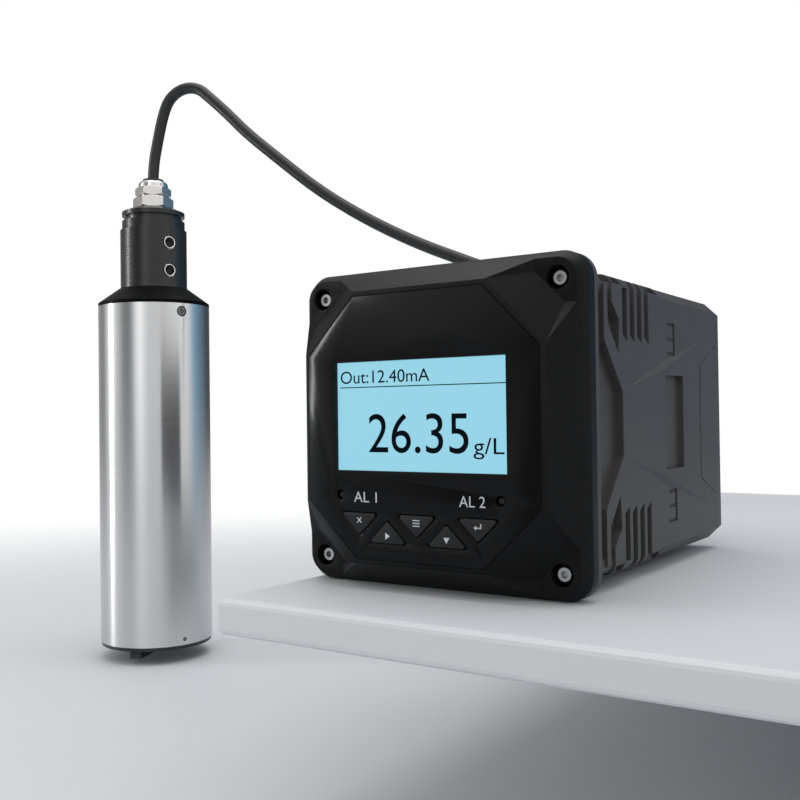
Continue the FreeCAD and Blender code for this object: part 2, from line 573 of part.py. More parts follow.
def armour_cuts(body):
    """Cuts of one side of the housing: edges, openings, grooves, windows, clamp slot and creases."""
    cuts = [hollow(body, "armour_edge", "X", "core_half", FAR,
                   polygon(("armour_start", "rib_low"), ("scallop_y", "scallop_z"),
                           ("scallop_y", "-scallop_z"), ("armour_start", "-rib_low")))]
    rib_rear = "armour_start+rib_wide"
    cuts.append(hollow(body, "rib_openings", "X", "core_half", FAR,
                       *both_ways(("armour_start", FAR), ("armour_start", "rib_top"), (rib_rear, "rib_top"),
                                  (rib_rear, "slot_front_low"), ("slot_tip_y", "slot_tip_z"),
                                  ("slot_rear_y", "slot_rear_z"), ("slot_top_y", "slot_top_z"),
                                  ("slot_top_y", FAR))))
    for index in range(4):
        front = "groove_start+groove_pitch*%d" % index
        rear = front + "+groove_wide"
        top = FAR if index else "first_groove_top"
        cuts.append(hollow(body, "groove_%d" % index, "X", "core_half", FAR,
                           *both_ways((front, top), (front, "groove_low"), (rear, "groove_low-groove_point"),
                                      (rear, top))))
    for name, front, rear in (("front_window", "slot_top_y+window_rib", "groove_start-window_rib"),
                              ("rear_window", "block_rear-window_long", "block_rear-window_rib")):
        cuts.append(hollow(body, name, "X", "core_half", FAR,
                           *both_ways((front, "window_z"), (rear, "window_z"), (rear, FAR), (front, FAR))))
    cuts.append(hollow(body, "clamp_slot", "X", "core_half", FAR,
                       polygon(("clamp_front", "-clamp_half"), ("clamp_rear", "-clamp_half"),
                               ("clamp_rear", "clamp_half"), ("clamp_front", "clamp_half"))))
    cuts.append(hollow(body, "clamp_ramp", "Z", "-clamp_half", "clamp_half",
                       polygon((FAR, "clamp_front-clamp_ramp"), ("body_half", "clamp_front-clamp_ramp"),
                               ("body_half-clamp_ramp_deep", "clamp_front"), (FAR, "clamp_front"))))
    sections = []
    for level, deep, reach, spread in (("crease_front", "0.02", "crease_z_front", "0.1"),
                                       ("crease_mid", "crease_deep", "crease_z_mid", "crease_wide"),
                                       ("crease_rear", "0.02", "crease_z_rear", "0.1")):
        low, outer = "body_half-%s" % deep, "(%s+%s)" % (reach, spread)
        sections.append((level, polygon((FAR, outer), ("body_half", outer), (low, reach), (low, "-" + reach),
                                        ("body_half", "-" + outer), (FAR, "-" + outer))))
    cuts.append(loft(body, "crease", "Y", sections, kind="PartDesign::SubtractiveLoft"))
    corner = "body_half-corner_cut"
    cuts.append(hollow(body, "corner_bevel", "Y", "block_rear", "shell_long",
                       polygon((corner, "body_half"), ("body_half", corner), (FAR, corner), (FAR, FAR),
                               (corner, FAR))))
    return cuts


def corner_features(body):
    """Screw post, insert seat and screw holes in one corner of the housing."""
    insert_rear = "insert_long-(flange_thick-gasket_deep/2)"
    return [prism(body, "corner_post", "Y", "0", "slot_top_y",
                  circle("screw_half", "screw_half", "post_r+post_skin")),
            hollow(body, "insert_seat", "Y", "-flange_thick", insert_rear,
                   circle("screw_half", "screw_half", "insert_r+insert_play")),
            hollow(body, "screw_tip", "Y", insert_rear, insert_rear + "+screw_r*2",
                   circle("screw_half", "screw_half", "screw_r+screw_play")),
            hollow(body, "rear_pilot", "Y", "shell_long-screw_long", "shell_long",
                   circle("rear_screw_half", "rear_screw_half", "screw_r+screw_play"))]


def tongue_outline(grow):
    """Side tongue of the rear cover: narrow at its front, wider past a knee."""
    front = "tongue_front-(%s)" % grow
    near, wide = "tongue_half+%s" % grow, "tongue_wide+%s" % grow
    return polygon((front, near), ("tongue_knee", wide), ("shell_long", wide), ("shell_long", "-(%s)" % wide),
                   ("tongue_knee", "-(%s)" % wide), (front, "-(%s)" % near))


def gasket_outlines(grow):
    """Both edges of the square cord seal, or of its groove when grown by some play."""
    outer, inner = "(gasket_half+%s)" % grow, "(gasket_half-gasket_wide-%s)" % grow
    corner = "front_radius-(front_half-%s)"
    return (rounded("-" + outer, outer, "-" + outer, outer, corner % outer),
            rounded("-" + inner, inner, "-" + inner, inner, corner % inner))


def make_rear_cover():
    """Rear cover: bevelled plate with two side tongues, a locating rim and windows for the terminals."""
    body = new_body("rear_cover")
    outline = cut_oblong("body_half", "body_half", "corner_cut")
    slope_start, rear = "shell_long+cap_long-cap_slope", "shell_long+cap_long"
    prism(body, "edge", "Y", "shell_long", slope_start, outline)
    loft(body, "bevelled_back", "Y", [(slope_start, outline),
                                      (rear, cut_oblong("body_half-cap_side", "body_half-cap_drop", "cap_side*2"))])
    tongue = prism(body, "tongue", "X", "body_half-tongue_thick", "body_half", tongue_outline("0"))
    repeated(body, "tongues", [tongue], "Y", 2)
    rim_half, rim_diagonal = HOLLOW_HALF + "-spigot_play", "hollow_diagonal-spigot_play*2"
    prism(body, "rim", "Y", "shell_long-spigot_long", "shell_long", cut_square(rim_half, rim_diagonal),
          cut_square(rim_half + "-spigot_wall", rim_diagonal + "-spigot_wall*sqrt(2)"))
    low, high = "level_z+board_thick-block_play", "level_z+board_thick+block_high+block_play"
    across = "(block_half+block_play)"
    hollow(body, "terminal_windows", "Y", "shell_long", rear,
           *both_ways(("-" + across, low), (across, low), (across, high), ("-" + across, high)))
    seat = "shell_long+cap_long-screw_head_high"
    sink = hollow(body, "screw_sink", "Y", seat, rear,
                  circle("rear_screw_half", "rear_screw_half", "screw_head_r+spigot_play"))
    hole = hollow(body, "screw_hole", "Y", "shell_long", seat,
                  circle("rear_screw_half", "rear_screw_half", "screw_r+screw_play"))
    repeated(body, "corner_holes", [sink, hole], "Y", 4)
    return body


def block(body, name, x0, x1, y0, y1, z0, z1):
    return prism(body, name, "Z", z0, z1, polygon((x0, y0), (x1, y0), (x1, y1), (x0, y1)))


POLES = 11
BOARD_TOP = "(level_z+board_thick)"


def make_boards():
    """Main board above, power board below, and the hexagonal spacers between them."""
    bodies = []
    for name, low, high in (("main_board", "level_z", BOARD_TOP), ("power_board", "-" + BOARD_TOP, "-level_z")):
        body = new_body(name)
        block(body, "laminate", "-level_half", "level_half", "level_front", "level_rear", low, high)
        bodies.append(body)
    spacers = new_body("board_spacers", several=True)
    turns = range(0, 360, 60)
    outlines = [polygon(*[("%sspacer_x+spacer_r*cos(%d)" % (side, turn), "%s+spacer_r*sin(%d)" % (along, turn))
                          for turn in turns])
                for side in ("", "-") for along in ("spacer_front", "spacer_rear")]
    prism(spacers, "hexagons", "Z", "-level_z", "level_z", *outlines)
    return bodies + [spacers]


def make_terminals():
    """Two rows of screw terminals that look out of the rear cover, and their clamping screws."""
    bodies = []
    rear = "shell_long+cap_long+block_proud"
    first = "-pole_pitch*%d" % (POLES // 2)
    row = "pole_pitch*%d" % (POLES - 1)
    screws = new_body("terminal_screws", several=True)
    heads = []
    for name, side in (("terminal_block_upper", ""), ("terminal_block_lower", "-")):
        body = new_body(name)
        low, high = sorted((side + BOARD_TOP, side + "(%s+block_high)" % BOARD_TOP), key=size)
        block(body, "housing", "-block_half", "block_half", "block_front", rear, low, high)
        entry_mid = "%s(%s+entry_low)" % (side, BOARD_TOP)
        screw_mid = "%s(%s+pole_screw_up)" % (side, BOARD_TOP)
        entry = hollow(body, "wire_entry", "Y", rear + "-entry_deep", rear,
                       polygon((first + "-entry_half", entry_mid + "-entry_half"),
                               (first + "+entry_half", entry_mid + "-entry_half"),
                               (first + "+entry_half", entry_mid + "+entry_half"),
                               (first + "-entry_half", entry_mid + "+entry_half")))
        well = hollow(body, "screw_well", "Y", rear + "-pole_screw_deep*2", rear,
                      circle(first, screw_mid, "pole_screw_r+screw_play"))
        in_line(body, "poles", [entry, well], "X", row, POLES)
        heads.append(circle(first, screw_mid, "pole_screw_r"))
        bodies.append(body)
    head = prism(screws, "heads", "Y", rear + "-pole_screw_deep*2", rear + "-pole_screw_deep", *heads)
    in_line(screws, "poles", [head], "X", row, POLES)
    return bodies + [screws]


def make_board_parts():
    """Tall parts on the boards: relays, transformer, capacitors and the strip to the display board."""
    relays = new_body("output_relays", several=True)
    for index in range(2):
        left = "relay_left+relay_pitch*%d" % index
        block(relays, "relay_%d" % index, left, left + "+relay_wide", "relay_front", "relay_front+relay_long",
              BOARD_TOP, BOARD_TOP + "+relay_high")
    transformer = new_body("power_transformer")
    low, high = "-(%s+core_high)" % BOARD_TOP, "-" + BOARD_TOP
    block(transformer, "core", "-core_wide/2", "core_wide/2", "core_front", "core_front+core_long", low, high)
    block(transformer, "winding", "-core_wide*0.3", "core_wide*0.3", "core_front-winding_out",
          "core_front+core_long+winding_out", low + "+winding_out", high)
    capacitors = new_body("filter_capacitors", several=True)
    prism(capacitors, "cans", "Z", "-(%s+can_high)" % BOARD_TOP, "-" + BOARD_TOP,
          circle("can_x", "can_y", "can_r"), circle("can_x", "can_y+can_r*2.6", "can_r"))
    strip = new_body("ribbon_cable")
    low, turn = "strip_low", "strip_turn"
    prism(strip, "strip", "X", "-strip_half", "strip_half",
          polygon(("-board_front+board_thick", low), (turn + "+strip_thick", low), (turn + "+strip_thick", "level_z"),
                  (turn, "level_z"), (turn, low + "+strip_thick"),
                  ("-board_front+board_thick", low + "+strip_thick")))
    return [relays, transformer, capacitors, strip]


def stand_probe(body, turn="probe_turn"):
    """Put a probe piece on the probe's axis, turned about it."""
    body.Placement = Placement(Vector(), Rotation(Vector(0, 0, math.copysign(1, size(turn))), abs(size(turn))))
    body.setExpression("Placement.Base.x", bound("probe_x"))
    body.setExpression("Placement.Base.y", bound("probe_y"))
    body.setExpression("Placement.Rotation.Angle", bound("abs(%s)" % turn))
    return body


TUBE_BORE = "(tube_r-tube_wall)"
CAP_LOW = "(tube_high-cap_plug)"
PROBE_BOARD_HIGH = "(%s+slot_deep-slot_play)" % CAP_LOW
HEAD_LOW = "(tube_low-ring_high)"
HEAD_HIGH = "(tube_low+head_plug)"
COLLAR_TOP = "(neck_high+collar_high+recess_high+flare_high+flare_top_high)"
HEX_TOP = "(%s+gland_hex_high)" % COLLAR_TOP
DOME_LOW = "(%s+nut_hex_high)" % HEX_TOP
SEAL_TOP = "(%s+dome_high+seal_proud)" % DOME_LOW
MOTOR_LOW = "(%s+mount_thick)" % HEAD_HIGH
MOTOR_HIGH = "(%s+motor_long)" % MOTOR_LOW
BLADE_TOP = "(%s-wiper_gap)" % HEAD_LOW
ARM_TOP = "(%s-blade_thick)" % BLADE_TOP
ARM_LOW = "(%s-wiper_thick)" % ARM_TOP


def ring_section(outer, middle):
    """Eight-sided section of a sealing ring that lies against an outer radius."""
    reach, corner = "seal_r", "seal_r*tan(22.5)"
    centre = "(%s-seal_r)" % outer
    level = "(%s)" % middle
    signs = ((1, 0.5), (0.5, 1), (-0.5, 1), (-1, 0.5), (-1, -0.5), (-0.5, -1), (0.5, -1), (1, -0.5))
    points = []
    for out, up in signs:
        out_size = "%s*%d" % (reach, out) if abs(out) == 1 else "%s*%d" % (corner, 2 * out)
        up_size = "%s*%d" % (reach, up) if abs(up) == 1 else "%s*%d" % (corner, 2 * up)
        points.append(("%s+%s" % (centre, out_size), "%s+%s" % (level, up_size)))
    return points


def make_probe_housing():
    """Stainless tube, black cap and neck with threaded ports, and the turned collar on top."""
    sleeve = new_body("probe_sleeve")
    turned(sleeve, "tube", (TUBE_BORE, "tube_low"), ("tube_r", "tube_low"), ("tube_r", "tube_high"),
           (TUBE_BORE, "tube_high"))
    holes = [hollow(sleeve, "screw_hole", "X", "tube_r*0.8", "tube_r*1.1",
                    circle("0", "sleeve_screw_z", "sleeve_screw_r+fit_play")),
             hollow(sleeve, "pin_hole", "X", "tube_r*0.8", "tube_r*1.1", circle("0", "pin_z", "pin_r+fit_play"))]
    repeated(sleeve, "three_holes", holes, "Z", 3)
    cap = new_body("probe_cap")
    plug, groove = "(%s-fit_play)" % TUBE_BORE, "(%s-fit_play-seal_r*2)" % TUBE_BORE
    middle = CAP_LOW + "+seal_up"
    turned(cap, "cone", ("cap_bore_r", CAP_LOW), (plug, CAP_LOW), (plug, middle + "-seal_r*1.2"),
           (groove, middle + "-seal_r*1.2"), (groove, middle + "+seal_r*1.2"), (plug, middle + "+seal_r*1.2"),
           (plug, "tube_high"), ("tube_r", "tube_high"), ("tube_r", "tube_high+rim_high"),
           ("neck_r+cone_step", "neck_low"), ("cap_bore_r", "neck_low"))
    hollow(cap, "board_slot", "Z", CAP_LOW, CAP_LOW + "+slot_deep",
           polygon(("-(probe_board_half+slot_play)", "-(board_thick/2+slot_play)"),
                   ("probe_board_half+slot_play", "-(board_thick/2+slot_play)"),
                   ("probe_board_half+slot_play", "board_thick/2+slot_play"),
                   ("-(probe_board_half+slot_play)", "board_thick/2+slot_play")))
    hole = hollow(cap, "screw_bore", "X", "tube_r*0.75", "tube_r*1.1",
                  circle("0", "sleeve_screw_z", "sleeve_screw_r*0.5+fit_play"))
    repeated(cap, "screw_bores", [hole], "Z", 3)
    seal = new_body("cap_seal")
    turned(seal, "ring", *ring_section(TUBE_BORE + "-fit_play/2", middle))
    neck = new_body("probe_neck")
    turned(neck, "barrel", ("neck_bore_r", "neck_low-cap_plug"), ("cap_bore_r-fit_play", "neck_low-cap_plug"),
           ("cap_bore_r-fit_play", "neck_low"), ("neck_r", "neck_low"), ("neck_r", "neck_high"),
           ("neck_bore_r", "neck_high"))
    for index, level in enumerate(("port_high", "port_high-port_pitch")):
        hollow(neck, "port_%d" % index, "X", "neck_r-port_long", "neck_r*1.1",
               circle("0", level, "port_r+insert_play"))
    inserts = new_body("neck_inserts", several=True)
    for index, level in enumerate(("port_high", "port_high-port_pitch")):
        prism(inserts, "insert_%d" % index, "X", "neck_r-port_long", "neck_r",
              circle("0", level, "port_r"), circle("0", level, "port_bore_r"))
    collar = new_body("probe_collar")
    step_0, step_1 = "neck_high+collar_high", "neck_high+collar_high+recess_high"
    step_2 = step_1 + "+flare_high"
    seat_low = COLLAR_TOP + "-gland_stub"
    turned(collar, "plug", ("cable_r+cable_slack", "neck_high-collar_plug"),
           ("neck_bore_r-fit_play", "neck_high-collar_plug"), ("neck_bore_r-fit_play", "neck_high"),
           ("collar_r", "neck_high"), ("collar_r", step_0), ("recess_r", step_0), ("recess_r", step_1),
           ("collar_r", step_1), ("collar_r", step_2), ("flare_top_r", COLLAR_TOP), ("seat_r", COLLAR_TOP),
           ("seat_r", seat_low), ("cable_r+cable_slack", seat_low))
    return [stand_probe(body) for body in (sleeve, cap, seal, neck, inserts, collar)]


def make_gland():
    """Nickel-plated cable gland: hexagonal body, domed hexagonal nut, rubber seal and the cable in it."""
    body = new_body("gland_body")
    prism(body, "hexagon", "Z", COLLAR_TOP, HEX_TOP, hexagon("gland_hex"))
    prism(body, "lower_thread", "Z", COLLAR_TOP + "-gland_stub", COLLAR_TOP, circle("0", "0", "seat_r-fit_play"))
    prism(body, "upper_thread", "Z", HEX_TOP, HEX_TOP + "+thread_up", circle("0", "0", "thread_r"))
    hollow(body, "cable_bore", "Z", COLLAR_TOP + "-gland_stub", HEX_TOP + "+thread_up",
           circle("0", "0", "cable_r+cable_play"))
    hollow(body, "seal_seat", "Z", HEX_TOP + "+seal_lift", HEX_TOP + "+thread_up",
           circle("0", "0", "seal_body_r+fit_play"))
    nut = new_body("gland_nut")
    prism(nut, "hexagon", "Z", HEX_TOP, DOME_LOW, hexagon("nut_hex"))
    turned(nut, "dome", ("0", DOME_LOW), ("dome_r", DOME_LOW), ("dome_r", DOME_LOW + "+dome_high*0.4"),
           ("dome_top_r", DOME_LOW + "+dome_high"), ("0", DOME_LOW + "+dome_high"))
    hollow(nut, "thread_bore", "Z", HEX_TOP, HEX_TOP + "+thread_up+seal_lift",
           circle("0", "0", "thread_r+fit_play"))
    hollow(nut, "cable_mouth", "Z", HEX_TOP, DOME_LOW + "+dome_high", circle("0", "0", "seal_top_r+fit_play"))
    seal = new_body("gland_seal")
    bore = "(cable_r+cable_play)"
    shoulder = HEX_TOP + "+thread_up+seal_lift"
    turned(seal, "bush", (bore, HEX_TOP + "+seal_lift"), ("seal_body_r", HEX_TOP + "+seal_lift"),
           ("seal_body_r", shoulder), ("seal_top_r", shoulder), ("seal_top_r", SEAL_TOP), (bore, SEAL_TOP))
    tail = new_body("cable_tail")
    prism(tail, "jacket", "Z", PROBE_BOARD_HIGH + "+slot_play", SEAL_TOP, circle("0", "0", "cable_r"))
    return [stand_probe(body) for body in (body, nut, seal, tail)]


def around(radius, degrees):
    """Place at a radius and an angle from the probe's turned +X."""
    return "(%s)*cos(%s)" % (radius, degrees), "(%s)*sin(%s)" % (radius, degrees)


def make_probe_inside():
    """Optical head with its windows, lamp and detectors, seals, screws, circuit board and wiper motor."""
    head = new_body("optical_head")
    plug, groove = "(%s-fit_play)" % TUBE_BORE, "(%s-fit_play-seal_r*2)" % TUBE_BORE
    middle = HEAD_HIGH + "-seal_up"
    turned(head, "plug", ("shaft_r+shaft_play", HEAD_LOW), ("ring_r", HEAD_LOW), ("ring_r", "tube_low"),
           (plug, "tube_low"), (plug, middle + "-seal_r*1.2"), (groove, middle + "-seal_r*1.2"),
           (groove, middle + "+seal_r*1.2"), (plug, middle + "+seal_r*1.2"), (plug, HEAD_HIGH),
           ("shaft_r+shaft_play", HEAD_HIGH))
    hollow(head, "seal_pocket", "Z", HEAD_HIGH + "-shaft_seal_high", HEAD_HIGH,
           circle("0", "0", "shaft_seal_r+fit_play"))
    spots = [around("optic_at", "wiper_park-probe_turn+optic_step*%d" % step) for step in (1, 2, 3)]
    hollow(head, "window_seats", "Z", HEAD_LOW, HEAD_LOW + "+optic_thick",
           *[circle(*spot, "optic_r+optic_play") for spot in spots])
    hollow(head, "light_bores", "Z", HEAD_LOW + "+optic_thick", HEAD_HIGH,
           *[circle(*spot, "lamp_r+optic_play") for spot in spots])
    hole = hollow(head, "pin_bore", "X", "tube_r*0.75", "tube_r*1.1", circle("0", "pin_z", "pin_r+fit_play"))
    repeated(head, "pin_bores", [hole], "Z", 3)
    seal = new_body("head_seal")
    turned(seal, "ring", *ring_section(TUBE_BORE + "-fit_play/2", middle))
    windows = new_body("optic_windows", several=True)
    prism(windows, "discs", "Z", HEAD_LOW, HEAD_LOW + "+optic_thick",
          *[circle(*spot, "optic_r") for spot in spots])
    lamp = new_body("emitter_led")
    lamp_low = HEAD_LOW + "+optic_thick+optic_play"
    prism(lamp, "dome", "Z", lamp_low, lamp_low + "+lamp_high", circle(*spots[1], "lamp_r"))
    eyes = new_body("photodiodes", several=True)
    prism(eyes, "cans", "Z", lamp_low, lamp_low + "+lamp_high", circle(*spots[0], "lamp_r"),
          circle(*spots[2], "lamp_r"))
    pins = new_body("head_pins", several=True)
    pin = prism(pins, "pin", "X", "tube_r*0.75+fit_play", "tube_r-pin_sunk", circle("0", "pin_z", "pin_r"))
    repeated(pins, "three_pins", [pin], "Z", 3)
    screws = new_body("sleeve_screws", several=True)
    shank = prism(screws, "shank", "X", "tube_r*0.75+fit_play", TUBE_BORE,
                  circle("0", "sleeve_screw_z", "sleeve_screw_r*0.5"))
    disc = prism(screws, "head", "X", TUBE_BORE, "tube_r", circle("0", "sleeve_screw_z", "sleeve_screw_r"))
    repeated(screws, "three_screws", [shank, disc], "Z", 3)
    mount = new_body("motor_mount")
    prism(mount, "plate", "Z", HEAD_HIGH, MOTOR_LOW, circle("0", "0", "mount_r"), circle("0", "0", "shaft_r*1.5"))
    motor = new_body("wiper_motor")
    prism(motor, "can", "Z", MOTOR_LOW, MOTOR_HIGH, circle("0", "0", "motor_r"))
    hollow(motor, "shaft_bore", "Z", MOTOR_LOW, MOTOR_LOW + "+motor_long/3", circle("0", "0", "shaft_r+shaft_play"))
    lip = new_body("shaft_seal")
    prism(lip, "ring", "Z", HEAD_HIGH + "-shaft_seal_high", HEAD_HIGH, circle("0", "0", "shaft_seal_r"),
          circle("0", "0", "shaft_r+shaft_play"))
    board = new_body("probe_board")
    block(board, "laminate", "-probe_board_half", "probe_board_half", "-board_thick/2", "board_thick/2",
          MOTOR_HIGH + "+slot_play", PROBE_BOARD_HIGH)
    return [stand_probe(body) for body in (head, seal, windows, lamp, eyes, pins, screws, mount, motor, lip, board)]


def make_wiper():
    """Wiper under the optical head: drive shaft, arm, rubber blade and fixing screw."""
    shaft = new_body("wiper_shaft")
    prism(shaft, "rod", "Z", ARM_LOW, MOTOR_LOW + "+motor_long/3-slot_play", circle("0", "0", "shaft_r"))
    hollow(shaft, "screw_bore", "Z", ARM_LOW, ARM_LOW + "+shaft_r*3", circle("0", "0", "shaft_r/2+shaft_play"))
    arm = new_body("wiper_arm")
    half = "wiper_wide/2"
    block(arm, "bar", "-hub_r", "wiper_reach", "-" + half, half, ARM_LOW, ARM_TOP)
    prism(arm, "hub", "Z", ARM_LOW, BLADE_TOP, circle("0", "0", "hub_r"))
    hollow(arm, "bore", "Z", ARM_LOW, BLADE_TOP, circle("0", "0", "shaft_r+shaft_play"))
    blade = new_body("wiper_blade")
    block(blade, "strip", "hub_r+fit_play", "wiper_reach", "-(%s)" % half, half, ARM_TOP, BLADE_TOP)
    screw_body = new_body("wiper_screw")
    prism(screw_body, "head", "Z", ARM_LOW + "-wiper_head_high", ARM_LOW, circle("0", "0", "wiper_head_r"))
    prism(screw_body, "shank", "Z", ARM_LOW, ARM_LOW + "+shaft_r*3-slot_play", circle("0", "0", "shaft_r/2"))
    return [stand_probe(body, "wiper_park") for body in (shaft, arm, blade, screw_body)]


# Route of the probe's cable from the gland's top to the terminals at the controller's rear.
ROUTE = [(-255.8, 111.2, 135.4), (-255.5, 111.3, 144.4), (-252.8, 112.0, 157.1), (-249.7, 112.9, 170.4),
         (-245.9, 114.0, 180.2), (-237.7, 116.3, 185.4), (-228.2, 119.1, 184.6), (-221.0, 121.1, 178.0),
         (-210.9, 124.0, 168.3), (-199.7, 127.2, 156.3), (-182.4, 132.1, 141.2), (-160.6, 138.3, 122.4),
         (-135.3, 145.5, 105.2), (-109.0, 153.0, 90.7), (-82.2, 160.6, 79.0), (-54.0, 168.9, 66.8),
         (-29.0, 176.0, 55.0), (-10.4, 181.3, 45.2), (2.1, 179.4, 38.5), (12.2, 172.0, 32.5),
         (17.7, 161.4, 28.2), (17.9, 150.5, 25.8)]


def route_wire(points):
    """Straight runs joined by tangent arcs, each as large as its two runs allow."""
    spots = [Vector(*point) for point in points]
    edges, radii, here = [], [], spots[0]
    for before, corner, after in zip(spots, spots[1:], spots[2:]):
        back, ahead = before - corner, after - corner
        half_turn = (math.pi - back.getAngle(ahead)) / 2
        reach = 0.45 * min(back.Length, ahead.Length)
        radii.append(reach / math.tan(half_turn))
        begin = corner + back.normalize() * reach
        end = corner + ahead.normalize() * reach
        bisector = (back + ahead).normalize()
        middle = corner + bisector * (radii[-1] / math.cos(half_turn) - radii[-1])
        edges += [Part.LineSegment(here, begin).toShape(), Part.Arc(begin, middle, end).toShape()]
        here = end
    edges.append(Part.LineSegment(here, spots[-1]).toShape())
    return Part.Wire(edges), radii


def swept(points, radius):
    """Round tube along a route."""
    path, radii = route_wire(points)
    start = Vector(*points[0])
    ring = Part.Wire(Part.Circle(start, Vector(*points[1]) - start, radius).toShape())
    tube = path.makePipeShell([ring], True, True)
    print("tube volume over section x length: %.4f, least radius %.1f"
          % (tube.Volume / (math.pi * radius ** 2 * path.Length), min(radii)), ["%.0f" % r for r in radii])
    return tube, path.Length


def make_cables():
    """The probe's cable and the cores that fan out of it into the upper terminals."""
    tube, length = swept(ROUTE, size("cable_r"))
    print("cable length %.0f" % length)
    cable = doc.addObject("Part::Feature", "sensor_cable")
    cable.Label = "sensor_cable"
    cable.Shape = tube
    end = Vector(*ROUTE[-1])
    ahead = (end - Vector(*ROUTE[-2])).normalize()
    across = Vector(0, 0, 1).cross(ahead).normalize()
    upward = ahead.cross(across)
    rear = size("shell_long+cap_long+block_proud")
    level = size(BOARD_TOP + "+entry_low")
    cores = []
    for index in range(4):
        turn = math.radians(135 + 90 * index)
        pole = size("pole_pitch") * (2 + index)
        beside = (across * math.cos(turn) + upward * math.sin(turn)) * size("core_spread")
        start = end + ahead * size("core_gap") + beside
        run = size("core_run")
        stops = [start, start + ahead * run, Vector(pole, rear + run / 2, level),
                 Vector(pole, rear - run / 2, level)]
        cores.append(swept([tuple(stop) for stop in stops], size("core_wire_r"))[0])
    wires = doc.addObject("Part::Feature", "cable_cores")
    wires.Label = "cable_cores"
    wires.Shape = Part.makeCompound(cores)
    return [cable, wires]


def write_parts(parts):
    """Check every object of the document and write each sub-part."""
    doc.recompute()
    for item in doc.Objects:
        if "Invalid" in item.State or "Error" in item.State:
            raise RuntimeError("%s failed: %s" % (item.Name, item.State))
    os.makedirs("parts", exist_ok=True)
    for part in parts:
        if part.Shape.isNull() or not part.Shape.isValid() or not part.Shape.Solids:
            raise RuntimeError(part.Label + " has no valid shape")
        part.Shape.exportStep("parts/%s.step" % part.Label)
        print("%-22s %d solids %8.1f mm3" % (part.Label, len(part.Shape.Solids), part.Shape.Volume))


parts = [make_front_bezel(), make_lens_panel(), make_key_guide(), make_tact_switches(), make_cover_gasket(),
         make_case_shell(), make_rear_cover()]
parts += [make_key(name, place, upward) for name, (place, upward) in KEYS.items()]
for group in (make_display, make_leds, make_fasteners, make_boards, make_terminals, make_board_parts,
              make_probe_housing, make_gland, make_probe_inside, make_wiper, make_cables):
    parts += group()
write_parts(parts)
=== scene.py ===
import math

import bmesh
import bpy
from mathutils import Matrix, Vector


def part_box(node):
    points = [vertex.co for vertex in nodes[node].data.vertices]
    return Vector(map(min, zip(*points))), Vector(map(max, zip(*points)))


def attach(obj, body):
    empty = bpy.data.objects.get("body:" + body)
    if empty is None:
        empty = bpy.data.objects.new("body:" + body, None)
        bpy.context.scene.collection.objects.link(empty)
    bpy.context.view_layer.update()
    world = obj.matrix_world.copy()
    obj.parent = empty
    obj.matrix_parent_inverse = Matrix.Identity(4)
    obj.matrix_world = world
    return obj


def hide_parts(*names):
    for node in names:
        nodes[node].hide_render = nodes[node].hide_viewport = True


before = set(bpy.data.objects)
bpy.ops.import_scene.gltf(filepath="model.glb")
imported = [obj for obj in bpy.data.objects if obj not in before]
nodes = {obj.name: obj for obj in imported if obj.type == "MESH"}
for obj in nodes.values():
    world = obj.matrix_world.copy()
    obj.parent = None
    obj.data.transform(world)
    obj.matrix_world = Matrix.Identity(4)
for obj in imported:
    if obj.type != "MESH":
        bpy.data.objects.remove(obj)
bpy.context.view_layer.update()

collection = bpy.context.collection

# Camera: close to the controller's front and a little to its right, level with the display, so
# that the front, the right side and the probe beyond the left edge all show.
yaw, pitch, roll = (math.radians(angle) for angle in (34.629, 0.857, -0.720))
forward = Vector((-math.sin(yaw) * math.cos(pitch), math.cos(yaw) * math.cos(pitch), math.sin(pitch)))
level = Vector((math.cos(yaw), math.sin(yaw), 0))
upright = level.cross(forward)
right = level * math.cos(roll) + upright * math.sin(roll)
up = upright * math.cos(roll) - level * math.sin(roll)
lens = bpy.data.cameras.new("camera")
lens.lens = 44.16
lens.sensor_width = 36
lens.shift_x = 0.0203
lens.shift_y = 0.00146
lens.clip_start = 0.01
lens.clip_end = 20
camera = bpy.data.objects.new("camera", lens)
camera.matrix_world = Matrix((right, up, -forward)).transposed().to_4x4()
camera.location = (0.158217, -0.264957, 0.003442)
collection.objects.link(camera)
bpy.context.scene.camera = camera

# Probe cable: 6 mm black jacket that rises from the gland, bends over under its own weight and
# runs down behind the controller to the upper terminals, where four cores fan out of it. The
# route is in millimetres.
route = [(-255.8, 111.2, 135.4), (-255.5, 111.3, 144.4), (-252.8, 112.0, 157.1), (-249.7, 112.9, 170.4),
         (-245.9, 114.0, 180.2), (-237.7, 116.3, 185.4), (-228.2, 119.1, 184.6), (-221.0, 121.1, 178.0),
         (-210.9, 124.0, 168.3), (-199.7, 127.2, 156.3), (-182.4, 132.1, 141.2), (-160.6, 138.3, 122.4),
         (-135.3, 145.5, 105.2), (-109.0, 153.0, 90.7), (-82.2, 160.6, 79.0), (-54.0, 168.9, 66.8),
         (-29.0, 176.0, 55.0), (-10.4, 181.3, 45.2), (2.1, 179.4, 38.5), (12.2, 172.0, 32.5),
         (17.7, 161.4, 28.2), (17.9, 150.5, 25.8)]
line = bpy.data.curves.new("probe_cable", "CURVE")
line.dimensions = "3D"
line.bevel_depth = 1.0  # scaled by each point's radius, which is the jacket's
line.bevel_resolution = 8
line.use_fill_caps = True
spline = line.splines.new("NURBS")
spline.points.add(len(route) - 1)
for point, place in zip(spline.points, route):
    point.co = [value / 1000 for value in place] + [1]
    point.radius = 0.003
spline.order_u = 3
spline.use_endpoint_u = True
spline.resolution_u = 14
cable = bpy.data.objects.new("probe_cable", line)
collection.objects.link(cable)
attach(cable, "meter")
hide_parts("sensor_cable")


